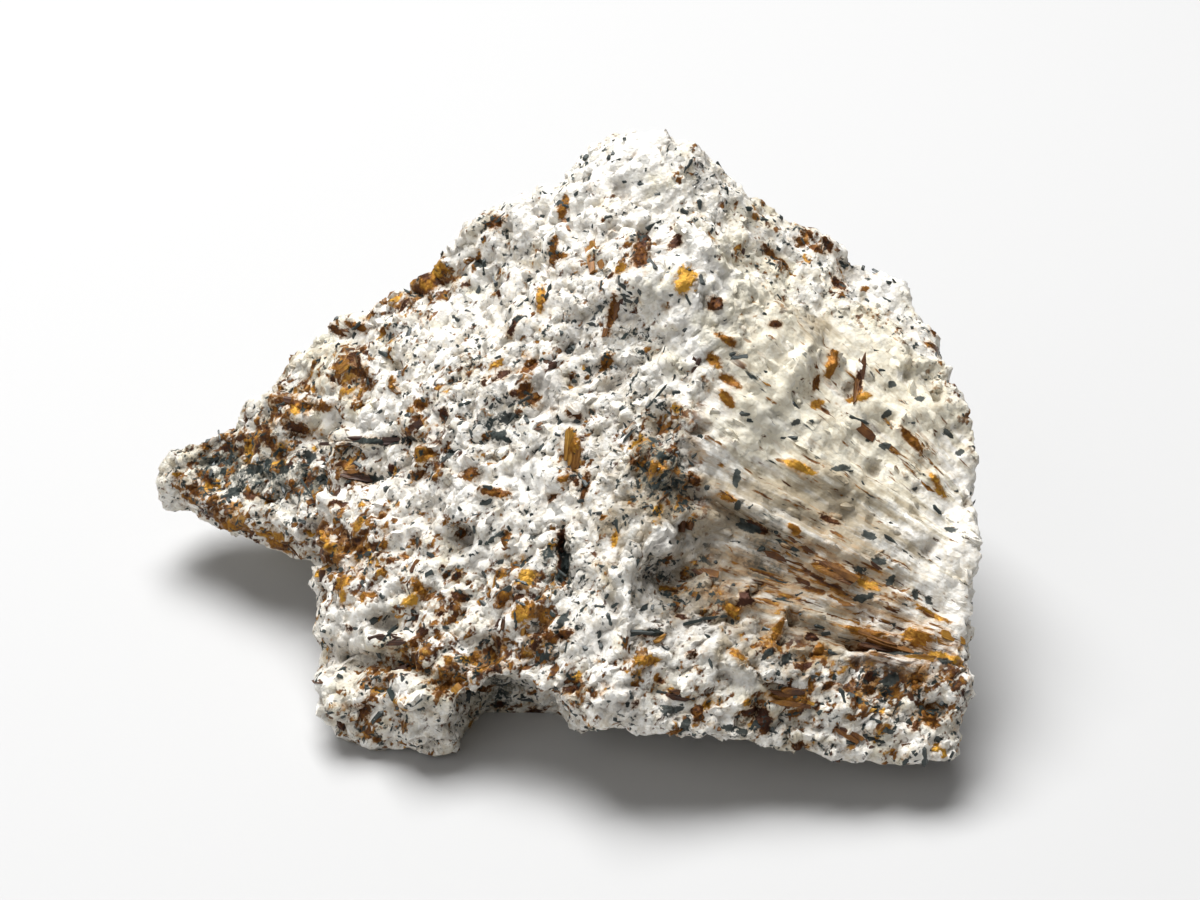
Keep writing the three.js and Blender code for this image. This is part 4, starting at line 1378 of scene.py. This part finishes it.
class SPECIMEN_OT_feldspar_grains(Operator):
    """Sets small feldspar grains on the rock, clear of the blades and needles"""

    bl_idname = "specimen.feldspar_grains"
    bl_label = "Feldspar grains"

    CLEARANCE = 0.30 * MM
    # How grains in the fan are drawn out, along, across and out, and how far they turn from it
    FAN_STRETCH = np.array((1.2, -0.25, -0.25))
    FAN_TURN = 0.12
    LEAN = 0.45
    # Spreads of the widths, of the stretch each way, of the corners' distances and of the sunk share
    WIDTHS = (0, 0.30)
    STRETCH = (0.7, 1.25)
    UNEVEN = (0.78, 1.22)
    SUNK = (0.24, 0.44)
    SEED = 55

    def execute(self, context):
        sizes = context.scene.specimen_crystals
        draw = np.random.default_rng(self.SEED)
        rock = finished_rock()
        sugary = 1 - 0.8 * smooth_step(rock.fields["fibrous"], *FIBRE_RANGE)
        points, normals, fields = rock.scatter(draw, sizes.grain_count, open_rock(rock) * sugary)
        clear = np.ones(len(points), bool)
        for name in ("astrophyllite_blades", "aegirine_needles"):
            crystals = mesh_arrays(bpy.data.objects[name].data)
            tree = BVHTree.FromPolygons(*(rows.tolist() for rows in crystals))
            clear &= [tree.find_nearest(point, self.CLEARANCE)[0] is None for point in points.tolist()]
        points = points[clear]
        normals = normals[clear]
        fields = {name: values[clear] for name, values in fields.items()}
        count = len(points)
        fibre = smooth_step(fields["fibrous"], *FIBRE_RANGE)[:, None]
        spans = sizes.grain_width * draw.lognormal(*self.WIDTHS, (count, 1))
        spans = spans * draw.uniform(*self.STRETCH, (count, 3)) * (1 + fibre * self.FAN_STRETCH)
        along = unit(np.cross(normals, draw.normal(0, 1, points.shape)))
        fan = leaning(draw, towards_focus(points, normals), self.FAN_TURN)
        facing = leaning(draw, normals, self.LEAN)
        along = laid(np.where(fibre > 0.5, fan, along), facing)
        corners, triangles = grain_shape()
        shapes = corners[None] * draw.uniform(*self.UNEVEN, (count, len(corners), 1))
        points = points - normals * (spans[:, 2:] * draw.uniform(*self.SUNK, (count, 1)))
        places = stamped(shapes * spans[:, None, :], turns_of(along, facing), points).reshape(-1, 3)
        places = above_table(places)
        kept = {name: np.repeat(values, len(corners)) for name, values in fields.items()}
        numbers = feldspar_numbers(places, kept, context.scene.specimen_rock)
        triangles = copied_triangles(triangles, count, len(corners))
        mesh = joined_mesh("feldspar_grains", places, triangles, numbers, SOFT_ANGLE)
        piece_of(mesh, bpy.data.materials["sugary feldspar"])
        return {"FINISHED"}


class SPECIMEN_OT_stage(Operator):
    """Makes the pale floor, the soft lights and the photograph's camera"""

    bl_idname = "specimen.stage"
    bl_label = "Stage"

    FLOOR_SIZE = 3.0
    FLOOR_ROUGHNESS = 0.8
    # Places and sizes of the lights, in metres
    KEY_PLACE = (-0.08, 0.16, 0.52)
    KEY_SIZE = 0.36
    FILL_PLACE = (-0.38, -0.46, 0.42)
    FILL_SIZE = 0.60
    NEAREST_SEEN = 0.01

    def execute(self, context):
        settings = context.scene.specimen_stage
        self.make_floor(context, settings)
        self.make_light(context, "overhead", self.KEY_PLACE, self.KEY_SIZE, settings.key_power)
        self.make_light(context, "front", self.FILL_PLACE, self.FILL_SIZE, settings.fill_power)
        world = bpy.data.worlds.new("studio")
        world.use_nodes = True
        sky = world.node_tree.nodes["Background"]
        sky.inputs["Color"].default_value = (1, 1, 1, 1)
        sky.inputs["Strength"].default_value = settings.ambient
        context.scene.world = world
        context.scene.view_settings.view_transform = "Standard"
        lens = bpy.data.cameras.new("photo view")
        lens.sensor_width = SENSOR_WIDTH
        lens.lens = SENSOR_WIDTH / 2 / math.tan(VIEW_ANGLE / 2)
        lens.clip_start = self.NEAREST_SEEN
        camera = bpy.data.objects.new("photo view", lens)
        camera.location = EYE
        camera.rotation_euler = Vector(AHEAD).to_track_quat("-Z", "Y").to_euler()
        context.scene.collection.objects.link(camera)
        context.scene.camera = camera
        return {"FINISHED"}

    def make_floor(self, context, settings):
        """A wide pale sheet."""
        half = self.FLOOR_SIZE / 2
        corners = [(-half, -half, 0), (half, -half, 0), (half, half, 0), (-half, half, 0)]
        mesh = bpy.data.meshes.new("floor")
        mesh.from_pydata(corners, [], [(0, 1, 2, 3)])
        floor = bpy.data.objects.new("floor", mesh)
        context.scene.collection.objects.link(floor)
        finish = Finish("pale floor")
        finish.surface(base_color=colour(settings.floor), roughness=self.FLOOR_ROUGHNESS)
        mesh.materials.append(finish.material)

    def make_light(self, context, name, place, size, power):
        """A square soft light that faces the rock."""
        light = bpy.data.lights.new(name, "AREA")
        light.size = size
        light.energy = power
        lamp = bpy.data.objects.new(name, light)
        lamp.location = place
        lamp.rotation_euler = Vector(VIEW_TARGET - place).to_track_quat("-Z", "Y").to_euler()
        context.scene.collection.objects.link(lamp)


class SPECIMEN_PT_panel(Panel):
    """Lists the specimen's settings and pieces"""

    bl_idname = "SPECIMEN_PT_panel"
    bl_label = "Astrophyllite cluster"
    bl_space_type = "VIEW_3D"
    bl_region_type = "UI"
    bl_category = "Specimen"

    def draw(self, context):
        for name, group in SETTINGS.items():
            box = self.layout.box()
            for key in group.__annotations__:
                box.prop(getattr(context.scene, name), key)
        for piece in PIECES:
            self.layout.operator(piece.bl_idname)


SETTINGS = {
    "specimen_rock": SpecimenRock,
    "specimen_crystals": SpecimenCrystals,
    "specimen_colours": SpecimenColours,
    "specimen_stage": SpecimenStage,
}
PIECES = (
    SPECIMEN_OT_rock_surface,
    SPECIMEN_OT_astrophyllite_blades,
    SPECIMEN_OT_aegirine_needles,
    SPECIMEN_OT_feldspar_grains,
    SPECIMEN_OT_stage,
)
CLASSES = (*SETTINGS.values(), *PIECES, SPECIMEN_PT_panel)


def register():
    for each in CLASSES:
        bpy.utils.register_class(each)
    for name, group in SETTINGS.items():
        setattr(bpy.types.Scene, name, PointerProperty(type=group))


def unregister():
    for name in SETTINGS:
        delattr(bpy.types.Scene, name)
    for each in reversed(CLASSES):
        bpy.utils.unregister_class(each)


def main():
    register()
    bpy.ops.specimen.rock_surface()
    bpy.ops.specimen.astrophyllite_blades()
    bpy.ops.specimen.aegirine_needles()
    bpy.ops.specimen.feldspar_grains()
    bpy.ops.specimen.stage()


if __name__ == "__main__":
    main()
